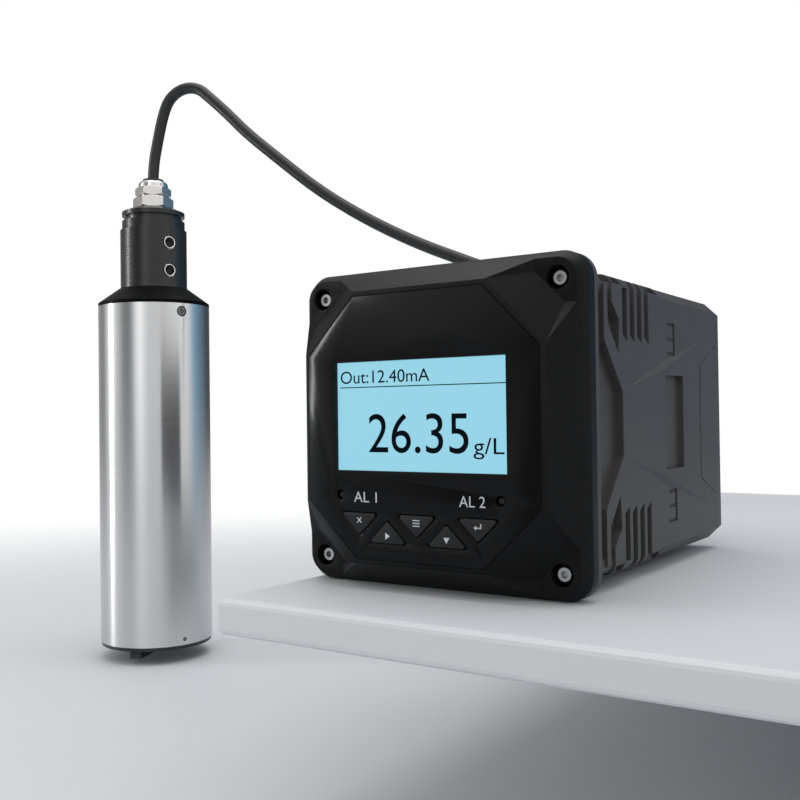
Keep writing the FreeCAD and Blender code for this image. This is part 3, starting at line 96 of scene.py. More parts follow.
def new_material(name, colour, roughness, metallic=0.0, specular=0.5):
    """A material with its node tree and its Principled shader."""
    material = bpy.data.materials.new(name)
    material.use_nodes = True
    material.diffuse_color = (*colour, 1)
    shader = material.node_tree.nodes["Principled BSDF"]
    shader.inputs["Base Color"].default_value = (*colour, 1)
    shader.inputs["Roughness"].default_value = roughness
    shader.inputs["Metallic"].default_value = metallic
    shader.inputs["Specular IOR Level"].default_value = specular
    return material, material.node_tree, shader


def add_node(tree, kind, **settings):
    """A shader node; a setting that names a socket sets its value, any other a property."""
    node = tree.nodes.new(kind)
    for name, value in settings.items():
        socket = node.inputs.get(name.replace("_", " "))
        if socket is None:
            setattr(node, name, value)
        else:
            socket.default_value = value
    return node


def drift(tree, source, low, high, target):
    """Let a number drift between two values as a noise does."""
    span = add_node(tree, "ShaderNodeMapRange", To_Min=low, To_Max=high)
    tree.links.new(source, span.inputs["Value"])
    tree.links.new(span.outputs["Result"], target)


def new_group(name, inputs, outputs):
    """A shader node group with number inputs, and its two end nodes."""
    group = bpy.data.node_groups.new(name, "ShaderNodeTree")
    for label, value in inputs.items():
        socket = group.interface.new_socket(label, in_out="INPUT", socket_type="NodeSocketFloat")
        socket.default_value = value
    for label, kind in outputs.items():
        group.interface.new_socket(label, in_out="OUTPUT", socket_type=kind)
    return group, group.nodes.new("NodeGroupInput"), group.nodes.new("NodeGroupOutput")


# Moulded and extruded surfaces: edges rounded by the tool, a fine spark-eroded grain and slow
# mottling of the tone. Lengths are metres and Grain is the number of grains in one.
moulded, entry, leave = new_group("moulded_surface", {"Edge": 0.0004, "Grain": 2600.0, "Depth": 0.00002},
                                  {"Normal": "NodeSocketVector", "Mottle": "NodeSocketFloat"})
place = add_node(moulded, "ShaderNodeTexCoord")
edge = add_node(moulded, "ShaderNodeBevel", samples=4)
grain = add_node(moulded, "ShaderNodeTexNoise", Detail=3.0, Roughness=0.65)
mottle = add_node(moulded, "ShaderNodeTexNoise", Scale=60.0, Detail=4.0)
relief = add_node(moulded, "ShaderNodeBump", Strength=1.0)
moulded.links.new(entry.outputs["Edge"], edge.inputs["Radius"])
moulded.links.new(place.outputs["Object"], grain.inputs["Vector"])
moulded.links.new(entry.outputs["Grain"], grain.inputs["Scale"])
moulded.links.new(place.outputs["Object"], mottle.inputs["Vector"])
moulded.links.new(grain.outputs["Fac"], relief.inputs["Height"])
moulded.links.new(entry.outputs["Depth"], relief.inputs["Distance"])
moulded.links.new(edge.outputs["Normal"], relief.inputs["Normal"])
moulded.links.new(relief.outputs["Normal"], leave.inputs["Normal"])
moulded.links.new(mottle.outputs["Fac"], leave.inputs["Mottle"])


SPREAD = 0.05


def moulded_material(name, dark, light, roughness, specular=0.5, **settings):
    """Moulded plastic or rubber whose tone and roughness drift a little over the surface."""
    material, tree, shader = new_material(name, light, roughness, specular=specular)
    surface = add_node(tree, "ShaderNodeGroup", node_tree=moulded)
    for label, value in settings.items():
        surface.inputs[label].default_value = value
    tones = add_node(tree, "ShaderNodeValToRGB")
    low, high = tones.color_ramp.elements
    low.position, high.position = 0.35, 0.65
    low.color, high.color = (*dark, 1), (*light, 1)
    tree.links.new(surface.outputs["Normal"], shader.inputs["Normal"])
    tree.links.new(surface.outputs["Mottle"], tones.inputs["Fac"])
    tree.links.new(tones.outputs["Color"], shader.inputs["Base Color"])
    drift(tree, surface.outputs["Mottle"], roughness - SPREAD, roughness + SPREAD, shader.inputs["Roughness"])
    return material


def dress(name, material):
    """Give a CAD node its material."""
    nodes[name].data.materials.clear()
    nodes[name].data.materials.append(material)


jacket = moulded_material("cable_jacket", (0.004, 0.004, 0.0045), (0.007, 0.007, 0.0075), 0.40, Grain=4000.0)
line.materials.append(jacket)
dress("cable_tail", jacket)

# Cores: four insulated wires that fan out of the cable's end and enter the upper terminals from
# behind. Each has a colour of its own, told apart by where it lies across the terminals.
CORES_LEFT = 0.0076
CORES_RIGHT = 0.0279
cores, tree, shader = new_material("core_insulation", (0.35, 0.05, 0.04), 0.4)
place = add_node(tree, "ShaderNodeTexCoord")
across = add_node(tree, "ShaderNodeSeparateXYZ")
span = add_node(tree, "ShaderNodeMapRange", From_Min=CORES_LEFT, From_Max=CORES_RIGHT)
shades = add_node(tree, "ShaderNodeValToRGB")
shades.color_ramp.interpolation = "CONSTANT"
shades.color_ramp.elements[0].color = (0.4, 0.03, 0.02, 1)
for position, shade in ((0.25, (0.01, 0.01, 0.01, 1)),
                        (0.5, (0.02, 0.16, 0.05, 1)),
                        (0.75, (0.6, 0.6, 0.58, 1))):
    shades.color_ramp.elements.new(position).color = shade
tree.links.new(place.outputs["Object"], across.inputs["Vector"])
tree.links.new(across.outputs["X"], span.inputs["Value"])
tree.links.new(span.outputs["Result"], shades.inputs["Fac"])
tree.links.new(shades.outputs["Color"], shader.inputs["Base Color"])
dress("cable_cores", cores)

# Housing and rear cover: charcoal mouldings with a fine matt grain. The shell's flange rests on
# the panel, and four screws close the cover on the shell.
charcoal = moulded_material("charcoal_plastic", (0.048, 0.045, 0.046), (0.056, 0.052, 0.053), 0.50,
                            specular=0.35)
dress("case_shell", charcoal)
dress("rear_cover", charcoal)


# Front frame: satin black moulding with broad soft edges, sunk corner pads and a lip round the
# lens. Four cap screws pull it on the housing, over a square cord seal.
def softened(name, label, width, segments=3):
    """The CAD node's form with its sharp edges rounded; it takes the node's place."""
    form = bmesh.new()
    form.from_mesh(nodes[name].data)
    bmesh.ops.remove_doubles(form, verts=form.verts, dist=1e-6)
    bmesh.ops.dissolve_limit(form, angle_limit=math.radians(0.5), verts=form.verts, edges=form.edges)
    mesh = bpy.data.meshes.new(label)
    form.to_mesh(mesh)
    form.free()
    mesh.materials.clear()
    mesh.polygons.foreach_set("use_smooth", [True] * len(mesh.polygons))
    piece = bpy.data.objects.new(label, mesh)
    collection.objects.link(piece)
    rounding = piece.modifiers.new("rounding", "BEVEL")
    rounding.width = width
    rounding.segments = segments
    rounding.limit_method = "ANGLE"
    rounding.angle_limit = math.radians(22)
    rounding.harden_normals = True
    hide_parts(name)
    return piece


bezel = softened("front_bezel", "front_frame", 0.0006)
satin = moulded_material("black_satin_plastic", (0.0035, 0.0035, 0.0039), (0.005, 0.005, 0.0055), 0.42,
                         specular=0.12, Edge=0.0001)
bezel.data.materials.append(satin)
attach(bezel, "meter")
rubber = moulded_material("seal_rubber", (0.006, 0.006, 0.006), (0.010, 0.010, 0.010), 0.6)
for name in ("cover_gasket", "cap_seal", "head_seal", "shaft_seal", "wiper_blade"):
    dress(name, rubber)

# Lens: one glossy black sheet set in the frame's lip, with rounded rims round the window, the
# lamps and the keys. Handling leaves faint smears in its gloss.
lens_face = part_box("lens_panel")[0][1]
panel = softened("lens_panel", "front_lens", 0.00018, 2)
glossy, tree, shader = new_material("black_gloss_lens", (0.003, 0.003, 0.0034), 0.16, specular=0.15)
smears = add_node(tree, "ShaderNodeTexNoise", Scale=35.0, Detail=5.0, Roughness=0.6)
place = add_node(tree, "ShaderNodeTexCoord")
tree.links.new(place.outputs["Object"], smears.inputs["Vector"])
drift(tree, smears.outputs["Fac"], 0.11, 0.21, shader.inputs["Roughness"])
panel.data.materials.append(glossy)
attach(panel, "meter")

# Display: lit pale blue pane with a fine grid of dots; its heading, rule, reading and unit are
# dark dots, shown as flat characters a hair in front of it.
DOT_PITCH = 0.00047
PRINT_THICK = 0.00003
lcd_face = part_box("lcd_glass")[0][1]
screen, tree, shader = new_material("display_glass", (0.02, 0.03, 0.035), 0.30, specular=0.2)
place = add_node(tree, "ShaderNodeTexCoord")
split = add_node(tree, "ShaderNodeSeparateXYZ")
tree.links.new(place.outputs["Object"], split.inputs["Vector"])
grid = add_node(tree, "ShaderNodeMath", operation="MAXIMUM")
for index, axis in enumerate("XZ"):
    wave = add_node(tree, "ShaderNodeMath", operation="MULTIPLY")
    wave.inputs[1].default_value = math.tau / DOT_PITCH
    swing = add_node(tree, "ShaderNodeMath", operation="COSINE")
    gap = add_node(tree, "ShaderNodeMapRange", From_Min=0.86, From_Max=1.0)
    tree.links.new(split.outputs[axis], wave.inputs[0])
    tree.links.new(wave.outputs[0], swing.inputs[0])
    tree.links.new(swing.outputs[0], gap.inputs["Value"])
    tree.links.new(gap.outputs["Result"], grid.inputs[index])
glow = add_node(tree, "ShaderNodeMix", data_type="RGBA")
glow.inputs["A"].default_value = (0.300, 0.640, 0.780, 1)
glow.inputs["B"].default_value = (0.262, 0.580, 0.720, 1)
tree.links.new(grid.outputs[0], glow.inputs["Factor"])
tree.links.new(glow.outputs["Result"], shader.inputs["Emission Color"])
shader.inputs["Emission Strength"].default_value = 1.0
dress("lcd_glass", screen)


def lettering(label, words, left, low, tall, wide, face):
    """Printed characters that stand a hair proud of a face seen from the front."""
    text = bpy.data.curves.new(label, "FONT")
    text.body = words
    text.extrude = 0.5
    made = bpy.data.objects.new(label, text)
    collection.objects.link(made)
    bpy.context.view_layer.update()
    mesh = bpy.data.meshes.new_from_object(made.evaluated_get(bpy.context.evaluated_depsgraph_get()))
    bpy.data.objects.remove(made)
    across = [vertex.co.x for vertex in mesh.vertices]
    upward = [vertex.co.y for vertex in mesh.vertices]
    first, foot = min(across), min(upward)
    stretch = wide / (max(across) - first)
    scale = tall / (max(upward) - foot)
    for vertex in mesh.vertices:
        x, y, out = vertex.co
        vertex.co = (left + (x - first) * stretch, face - (out + text.extrude) * PRINT_THICK,
                     low + (y - foot) * scale)
    mesh.name = label
    piece = bpy.data.objects.new(label, mesh)
    collection.objects.link(piece)
    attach(piece, "meter")
    return piece


def flat_signs(label, outlines, middle, face, thick=0.00004):
    """Flat shapes a hair proud of a face seen from the front, from outlines in millimetres."""
    form = bmesh.new()
    for outline in outlines:
        shape = form.faces.new([form.verts.new((x / 1000, 0, z / 1000)) for x, z in outline])
        raised = bmesh.ops.extrude_face_region(form, geom=[shape])
        moved = [item for item in raised["geom"] if isinstance(item, bmesh.types.BMVert)]
        bmesh.ops.translate(form, verts=moved, vec=(0, -thick, 0))
    bmesh.ops.recalc_face_normals(form, faces=form.faces)
    bmesh.ops.translate(form, verts=form.verts, vec=(middle[0], face, middle[1]))
    mesh = bpy.data.meshes.new(label)
    form.to_mesh(mesh)
    form.free()
    piece = bpy.data.objects.new(label, mesh)
    collection.objects.link(piece)
    return piece


def bar(half, rise, middle=0.0):
    """Outline of a level bar, in millimetres."""
    return [(-half, middle - rise), (half, middle - rise), (half, middle + rise), (-half, middle + rise)]


def two_tones(tree, source, dark, light, shader):
    """Let the base colour drift between two tones as a noise does."""
    tone = add_node(tree, "ShaderNodeMix", data_type="RGBA")
    tone.inputs["A"].default_value = (*dark, 1)
    tone.inputs["B"].default_value = (*light, 1)
    tree.links.new(source, tone.inputs["Factor"])
    tree.links.new(tone.outputs["Result"], shader.inputs["Base Color"])


ink, tree, shader = new_material("display_ink", (0.003, 0.006, 0.010), 0.6, specular=0.0)
specks = add_node(tree, "ShaderNodeTexNoise", Scale=900.0)
two_tones(tree, specks.outputs["Fac"], (0.002, 0.005, 0.008), (0.005, 0.009, 0.014), shader)
for label, words, left, low, tall, wide in (
        ("display_heading", "Out:12.40mA", -0.0290, 0.0136, 0.0039, 0.0330),
        ("display_reading", "26.35", -0.0184, -0.0079, 0.01195, 0.0354),
        ("display_unit", "g/L", 0.0186, -0.0094, 0.0062, 0.0100)):
    piece = lettering(label, words, left, low, tall, wide, lcd_face)
    piece.data.materials.append(ink)
rule = flat_signs("display_rule", [bar(29.45, 0.15)], (0.00035, 0.0124), lcd_face, PRINT_THICK)
rule.data.materials.append(ink)
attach(rule, "meter")

# Lamps and their labels: two unlit alarm lamps behind smoked domes in the lens, and beside each a
# label printed on the lens in white.
print_white = moulded_material("legend_white", (0.50, 0.50, 0.51), (0.60, 0.60, 0.61), 0.5)
for label, words, left in (("label_high", "AL 1", -0.0230), ("label_low", "AL 2", 0.0146)):
    piece = lettering(label, words, left, low=-0.0231, tall=0.0032, wide=0.0086, face=lens_face)
    piece.data.materials.append(print_white)
smoked, tree, shader = new_material("smoked_lamp", (0.005, 0.004, 0.004), 0.3, specular=0.3)
cells = add_node(tree, "ShaderNodeTexNoise", Scale=1500.0)
two_tones(tree, cells.outputs["Fac"], (0.003, 0.003, 0.003), (0.006, 0.004, 0.004), shader)
dress("led_high", smoked)
dress("led_low", smoked)

# Keys: five rubber triangles, point down and point up in turn, each with a printed sign: cancel,
# right, menu, down and enter.
key_skin = moulded_material("key_rubber", (0.006, 0.006, 0.0066), (0.008, 0.008, 0.0088), 0.5,
                            specular=0.3, Edge=0.0001)
KEY_PITCH = 0.0104
KEY_ROW = -0.0308
SIGN_SHIFT = 0.0022
key_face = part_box("key_cancel")[0][1]
cross = [(-0.95, 0.7), (-0.7, 0.95), (0, 0.25), (0.7, 0.95), (0.95, 0.7), (0.25, 0),
         (0.95, -0.7), (0.7, -0.95), (0, -0.25), (-0.7, -0.95), (-0.95, -0.7), (-0.25, 0)]
bars = [bar(1.2, 0.17, middle) for middle in (-0.83, 0.0, 0.83)]
hook = [(-1.3, -0.3), (-0.5, -1.0), (-0.5, -0.47), (1.25, -0.47), (1.25, 0.9), (0.87, 0.9), (0.87, -0.1),
        (-0.5, -0.1), (-0.5, 0.4)]
signs = {"key_cancel": (-2, -1, [cross]),
         "key_right": (-1, 1, [[(-0.75, 1.05), (0.95, 0), (-0.75, -1.05)]]),
         "key_menu": (0, -1, bars),
         "key_down": (1, 1, [[(-1.05, 0.75), (1.05, 0.75), (0, -1.0)]]),
         "key_enter": (2, -1, [hook])}
for name, (step, upward, outlines) in signs.items():
    key = softened(name, name + "_cap", 0.00025)
    key.data.materials.append(key_skin)
    sign = flat_signs(name + "_sign", outlines, (KEY_PITCH * step, KEY_ROW - SIGN_SHIFT * upward), key_face)
    sign.data.materials.append(print_white)
    for piece in (key, sign):
        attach(piece, name)

# Screws: bright socket cap screws deep in the front's corners, cross-head screws in the rear
# cover and the probe's tube, and slotted clamping screws in the terminals. Heads are turned and
# their drives pressed in, so each stands at an angle of its own.
def laid_rings(label, rings, steps=72, closed=False):
    """Mesh laid ring on ring round its own +Z, in millimetres; a radius may depend on the angle."""
    form = bmesh.new()
    rows = []
    for radius, height in rings:
        row = []
        for step in range(steps):
            angle = math.tau * step / steps
            reach = radius(angle) if callable(radius) else radius
            spot = (reach * math.cos(angle) / 1000, reach * math.sin(angle) / 1000, height / 1000)
            row.append(form.verts.new(spot))
        rows.append(row)
    for low, high in zip(rows, rows[1:] + rows[:1] if closed else rows[1:]):
        for step in range(steps):
            after = (step + 1) % steps
            form.faces.new((low[step], low[after], high[after], high[step]))
    if not closed:
        form.faces.new(rows[0][::-1])
        form.faces.new(rows[-1])
    bmesh.ops.recalc_face_normals(form, faces=form.faces)
    mesh = bpy.data.meshes.new(label)
    form.to_mesh(mesh)
    form.free()
    mesh.polygons.foreach_set("use_smooth", [True] * len(mesh.polygons))
    mesh.set_sharp_from_angle(angle=math.radians(28))
    return mesh


def six_sided(flats):
    """Radius of a hexagon with a corner on its X axis."""
    return lambda angle: flats / 2 / math.cos(angle % (math.pi / 3) - math.pi / 6)


def cross_slot(reach, half):
    """Radius of a cross recess."""
    def radius(angle):
        along, aside = abs(math.cos(angle)) + 1e-6, abs(math.sin(angle)) + 1e-6
        return max(min(half / aside, reach / along), min(half / along, reach / aside))
    return radius


def straight_slot(reach, half):
    """Radius of a screwdriver slot along the X axis."""
    return lambda angle: min(half / (abs(math.sin(angle)) + 1e-6), reach / (abs(math.cos(angle)) + 1e-6))


def screw_rings(head, tall, shank, whole, recess, deep):
    """Rings of a screw with its head's face at zero and its shank below; the drive narrows inwards."""
    narrowed = 0.92
    middle = 0.01
    edge = 0.12
    face = 0.9
    inner = [(recess, 0), (lambda angle: recess(angle) * narrowed, -deep), (middle, -deep)]
    outer = [(head, -tall), (head, -edge * head), (head * face, 0)]
    return ([(shank, -whole), (shank, -tall)] if shank else []) + outer + inner


fixing = bpy.data.node_groups.new("pieces_in_place", "GeometryNodeTree")
fixing.is_modifier = True
for label, kind, way in (("Places", "Geometry", "INPUT"), ("Piece", "Object", "INPUT"),
                         ("Finish", "Material", "INPUT"), ("Turn", "Float", "INPUT"),
                         ("Seed", "Int", "INPUT"), ("Pieces", "Geometry", "OUTPUT")):
    fixing.interface.new_socket(label, in_out=way, socket_type="NodeSocket" + kind)
entry, leave = fixing.nodes.new("NodeGroupInput"), fixing.nodes.new("NodeGroupOutput")
facing = add_node(fixing, "GeometryNodeInputNamedAttribute", data_type="FLOAT_VECTOR", Name="facing")
aligned = add_node(fixing, "FunctionNodeAlignRotationToVector", axis="Z")
chance = add_node(fixing, "FunctionNodeRandomValue", data_type="FLOAT")
spun = add_node(fixing, "FunctionNodeAxisAngleToRotation", Axis=(0, 0, 1))
turned_in = add_node(fixing, "FunctionNodeRotateRotation", rotation_space="LOCAL")
pattern = add_node(fixing, "GeometryNodeObjectInfo", transform_space="ORIGINAL")
copies = add_node(fixing, "GeometryNodeInstanceOnPoints")
made_real = add_node(fixing, "GeometryNodeRealizeInstances")
finished = add_node(fixing, "GeometryNodeSetMaterial")
fixing.links.new(entry.outputs["Places"], copies.inputs["Points"])
fixing.links.new(entry.outputs["Piece"], pattern.inputs["Object"])
fixing.links.new(pattern.outputs["Geometry"], copies.inputs["Instance"])
fixing.links.new(facing.outputs["Attribute"], aligned.inputs["Vector"])
fixing.links.new(entry.outputs["Turn"], chance.inputs[3])
fixing.links.new(entry.outputs["Seed"], chance.inputs["Seed"])
fixing.links.new(chance.outputs[1], spun.inputs["Angle"])
fixing.links.new(aligned.outputs["Rotation"], turned_in.inputs["Rotation"])
fixing.links.new(spun.outputs["Rotation"], turned_in.inputs["Rotate By"])
fixing.links.new(turned_in.outputs["Rotation"], copies.inputs["Rotation"])
fixing.links.new(copies.outputs["Instances"], made_real.inputs["Geometry"])
fixing.links.new(made_real.outputs["Geometry"], finished.inputs["Geometry"])
fixing.links.new(entry.outputs["Finish"], finished.inputs["Material"])
fixing.links.new(finished.outputs["Geometry"], leave.inputs["Pieces"])


def pieces_in_place(label, replaced, mesh, places, facings, finish, turn, seed):
    """Equal pieces at their places, from one pattern, as one plain mesh of the meter."""
    piece = bpy.data.objects.new(label + "_pattern", mesh)
    points = bpy.data.meshes.new(label + "_places")
    points.from_pydata([[value / 1000 for value in spot] for spot in places], [], [])
    points.attributes.new("facing", "FLOAT_VECTOR", "POINT").data.foreach_set(
        "vector", [value for way in facings for value in way])
    host = bpy.data.objects.new(label, points)
    collection.objects.link(piece)
    collection.objects.link(host)
    modifier = host.modifiers.new("places", "NODES")
    modifier.node_group = fixing
    sockets = {item.name: item.identifier for item in fixing.interface.items_tree}
    for socket, value in (("Piece", piece), ("Finish", finish), ("Turn", turn), ("Seed", seed)):
        modifier[sockets[socket]] = value
    bpy.context.view_layer.update()
    plain = bpy.data.meshes.new_from_object(host.evaluated_get(bpy.context.evaluated_depsgraph_get()))
    host.modifiers.remove(modifier)
    host.data = plain
    bpy.data.objects.remove(piece)
    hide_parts(replaced)
    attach(host, "meter")
    return host


def metal(name, colour, low, high, scale, round_edge):
    """Bare or plated metal whose polish varies in small patches."""
    material, tree, shader = new_material(name, colour, (low + high) / 2, 1.0)
    place = add_node(tree, "ShaderNodeTexCoord")
    edge = add_node(tree, "ShaderNodeBevel", samples=4, Radius=round_edge)
    wear = add_node(tree, "ShaderNodeTexNoise", Scale=scale, Detail=3.0)
    tree.links.new(place.outputs["Object"], wear.inputs["Vector"])
    drift(tree, wear.outputs["Fac"], low, high, shader.inputs["Roughness"])
    tree.links.new(edge.outputs["Normal"], shader.inputs["Normal"])
    return material


steel = metal("screw_steel", (0.42, 0.42, 0.42), low=0.25, high=0.45, scale=2200.0, round_edge=0.0001)
for name in ("board_screws", "wiper_screw", "board_spacers", "wiper_motor", "motor_mount", "wiper_shaft",
             "lcd_frame"):
    dress(name, steel)
dark_steel = metal("steel_dark", (0.17, 0.17, 0.175), low=0.30, high=0.50, scale=2200.0, round_edge=0.0001)
dress("head_pins", dark_steel)
corners = [(x, z) for x in (-1, 1) for z in (-1, 1)]

FRONT_SPREAD = 42
front_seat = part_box("cover_screws")[0][1] * 1000
cap_screw = laid_rings("cap_screw", screw_rings(head=2.2, tall=2.5, shank=1.25, whole=12.5,
                                                recess=six_sided(2.0), deep=2.0))
cap_screws = pieces_in_place("cover_cap_screws", "cover_screws", cap_screw,
                             [(FRONT_SPREAD * x, front_seat, FRONT_SPREAD * z) for x, z in corners],
                             [(0, -1, 0)] * len(corners), steel, turn=math.tau, seed=3)

REAR_SPREAD = 39
rear_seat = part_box("rear_screws")[1][1] * 1000
cross_screw = laid_rings("cross_screw", screw_rings(head=2.2, tall=1.6, shank=1.25, whole=11.6,
                                                    recess=cross_slot(1.35, 0.3), deep=0.8))
cross_screws = pieces_in_place("rear_cross_screws", "rear_screws", cross_screw,
                               [(REAR_SPREAD * x, rear_seat, REAR_SPREAD * z) for x, z in corners],
                               [(0, 1, 0)] * len(corners), steel, turn=math.tau, seed=5)

TERMINAL_PITCH = 5.08
TERMINAL_ROW = 28.2
clamp_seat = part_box("terminal_screws")[1][1] * 1000
clamp_screw = laid_rings("clamp_screw", screw_rings(head=1.6, tall=1.0, shank=0, whole=1.0,
                                                    recess=straight_slot(1.35, 0.22), deep=0.6))
clamp_places = [(TERMINAL_PITCH * step, clamp_seat, TERMINAL_ROW * side)
                for side in (-1, 1) for step in range(-5, 6)]
clamp_screws = pieces_in_place("terminal_clamp_screws", "terminal_screws", clamp_screw, clamp_places,
                               [(0, 1, 0)] * len(clamp_places), steel, turn=math.tau, seed=7)

PROBE_AXIS = Vector((-255.8, 111.2, 0))
PROBE_TURN = -14
TUBE_R = 30
SLEEVE_SCREW_Z = 60.6
outward = [Vector((math.cos(math.radians(turn)), math.sin(math.radians(turn)), 0))
           for turn in range(PROBE_TURN, PROBE_TURN + 360, 120)]
sleeve_screw = laid_rings("sleeve_screw", screw_rings(head=2.4, tall=1.4, shank=1.3, whole=5.0,
                                                      recess=cross_slot(1.5, 0.36), deep=0.8))
sleeve_places = [PROBE_AXIS + way * TUBE_R + Vector((0, 0, SLEEVE_SCREW_Z)) for way in outward]
sleeve_screws = pieces_in_place("sleeve_cross_screws", "sleeve_screws", sleeve_screw, sleeve_places,
                                outward, dark_steel, turn=math.tau, seed=2)


# Probe tube: stainless steel polished round and round, so that light stands on it in upright
# bands. Three countersunk screws hold it on the cap.
def lathe_rings(tree, across, along, **settings):
    """Noise drawn out into fine rings round the probe's axis."""
    place = add_node(tree, "ShaderNodeTexCoord")
    stretch = add_node(tree, "ShaderNodeMapping")
    stretch.inputs["Scale"].default_value = (across, across, along)
    rings = add_node(tree, "ShaderNodeTexNoise", Scale=1.0, **settings)
    tree.links.new(place.outputs["Object"], stretch.inputs["Vector"])
    tree.links.new(stretch.outputs["Vector"], rings.inputs["Vector"])
    return rings.outputs["Fac"]


brushed, tree, shader = new_material("stainless_tube", (0.62, 0.62, 0.625), 0.26, 1.0)
shader.inputs["Anisotropic"].default_value = 0.75
shader.inputs["Anisotropic Rotation"].default_value = 0.25
rings = lathe_rings(tree, 14, 2400, Detail=6.0, Roughness=0.7)
depth = add_node(tree, "ShaderNodeBump", Strength=0.25, Distance=0.00001)
turn = add_node(tree, "ShaderNodeTangent", direction_type="RADIAL", axis="Z")
tree.links.new(rings, depth.inputs["Height"])
tree.links.new(depth.outputs["Normal"], shader.inputs["Normal"])
tree.links.new(turn.outputs["Tangent"], shader.inputs["Tangent"])
two_tones(tree, rings, (0.57, 0.57, 0.575), (0.67, 0.67, 0.675), shader)
drift(tree, rings, 0.18, 0.26, shader.inputs["Roughness"])
dress("probe_sleeve", brushed)

# Cap, neck, collar and head: turned black acetal with the fine rings that a lathe leaves. The cap
# and the head close the tube's two ends, each over a ring seal.
turned, tree, shader = new_material("black_acetal", (0.008, 0.008, 0.009), 0.27)
drift(tree, lathe_rings(tree, 30, 3200, Detail=4.0), 0.24, 0.30, shader.inputs["Roughness"])
for name in ("probe_neck", "probe_collar", "optical_head", "wiper_arm"):
    dress(name, turned)
dress("probe_cap", moulded_material("black_cap", (0.002, 0.002, 0.0024), (0.0035, 0.0035, 0.004), 0.4,
                                    specular=0.04))

# Gland and port inserts: nickel plate on turned brass. The body's hexagon is screwed down on the
# collar, the domed nut closes on the seal, and each port is a threaded insert with a bright lip.
# Rings are radii and heights in millimetres.
nickel = metal("gland_nickel", (0.72, 0.71, 0.70), low=0.08, high=0.18, scale=1400.0, round_edge=0.0002)
dress("case_inserts", nickel)
dress("photodiodes", nickel)


def cut_hexagon(flats, low, high):
    """Rings of a hexagon whose corners are turned off at both ends."""
    turned_off = 0.49
    slope = 1.73
    steps = (0, 0.15, 0.3, 0.5, 0.7, 0.95)
    whole = six_sided(flats)

    def ring(rise):
        return lambda angle: min(whole(angle), flats * turned_off + rise * slope)
    return [(ring(rise), low + rise) for rise in steps] + [(ring(rise), high - rise) for rise in steps[::-1]]


CABLE_BORE = 3.1
STUB_R = 5.9
STUB_LOW = 111.8
COLLAR_TOP = 119.8
HEXAGON_TOP = 126.1
THREAD_R = 7.0
THREAD_TOP = 130.6
body_rings = ([(CABLE_BORE, STUB_LOW), (STUB_R, STUB_LOW), (STUB_R, COLLAR_TOP)]
              + cut_hexagon(19.0, COLLAR_TOP, HEXAGON_TOP)
              + [(THREAD_R, HEXAGON_TOP), (THREAD_R, THREAD_TOP), (CABLE_BORE, THREAD_TOP)])
NUT_BORE = 7.05
NUT_LOW = 126.6
NUT_FLATS_TOP = 131.6
MOUTH_R = 5.9
DOME_TOP = 135.1
nut_rings = ([(NUT_BORE, NUT_LOW)] + cut_hexagon(17.0, NUT_LOW, NUT_FLATS_TOP)
             + [(8.0, NUT_FLATS_TOP), (8.0, 133.3), (7.75, 134.0), (7.2, 134.6), (6.6, 134.95),
                (6.2, DOME_TOP), (MOUTH_R, DOME_TOP), (MOUTH_R, 132.0), (NUT_BORE, 130.9)])
SEAL_BORE = 3.08
SEAL_TOP = 136.4
seal_rings = [(SEAL_BORE, 131.0), (5.8, 132.0), (5.85, 135.7), (5.6, 136.2), (5.0, SEAL_TOP),
              (SEAL_BORE, SEAL_TOP)]
stand = Matrix.Translation(PROBE_AXIS / 1000) @ Matrix.Rotation(math.radians(PROBE_TURN), 4, "Z")
for label, replaced, rings, finish, slot in (
        ("gland_hexagon", "gland_body", body_rings, nickel, "gland_nickel"),
        ("gland_dome", "gland_nut", nut_rings, nickel, "gland_nickel"),
        ("gland_bush", "gland_seal", seal_rings, rubber, "seal_rubber")):
    mesh = laid_rings(label, rings, 96, closed=True)
    mesh.transform(stand)
    mesh.materials.append(finish)
    piece = bpy.data.objects.new(label, mesh)
    collection.objects.link(piece)
    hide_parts(replaced)
    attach(piece, "meter")
NECK_R = 18
PORT_BORE = 2.75
PORT_LIP = 3.35
PORT_BODY = 3.8
port_rings = [(PORT_BORE, -6.0), (PORT_BORE, -0.15), (2.9, 0), (3.25, 0), (PORT_LIP, -0.12),
              (PORT_LIP, -2.5), (PORT_BODY, -2.5), (PORT_BODY, -6.0)]
port_places = [PROBE_AXIS + outward[0] * NECK_R + Vector((0, 0, rise)) for rise in (99.1, 84.0)]
insert = laid_rings("port_insert", port_rings, closed=True)
inserts = pieces_in_place("port_inserts", "neck_inserts", insert, port_places, [outward[0]] * 2, nickel,
                          turn=0.0, seed=1)

# Inside pieces: glass-fibre boards, green moulded terminals, black switches and relays, pale guides
# and the optics. The terminals show from behind and the optics from below.
laminate = moulded_material("circuit_board", (0.010, 0.09, 0.035), (0.014, 0.12, 0.045), 0.4)
green = moulded_material("terminal_plastic", (0.02, 0.17, 0.07), (0.03, 0.21, 0.09), 0.45)
black = moulded_material("switch_plastic", (0.014, 0.014, 0.014), (0.022, 0.022, 0.022), 0.45)
pale = moulded_material("guide_plastic", (0.6, 0.6, 0.58), (0.7, 0.7, 0.68), 0.5)
for material, names in (
        (laminate, ("display_board", "main_board", "power_board", "probe_board")),
        (green, ("terminal_block_upper", "terminal_block_lower")),
        (black, ("tact_switches", "output_relays", "filter_capacitors", "power_transformer")),
        (pale, ("key_guide", "lcd_backlight", "ribbon_cable"))):
    for name in names:
        dress(name, material)
optic, tree, shader = new_material("optic_glass", (0.75, 0.82, 0.86), 0.05)
shader.inputs["Transmission Weight"].default_value = 0.8
ripple = add_node(tree, "ShaderNodeTexNoise", Scale=700.0)
drift(tree, ripple.outputs["Fac"], 0.02, 0.08, shader.inputs["Roughness"])
dress("optic_windows", optic)
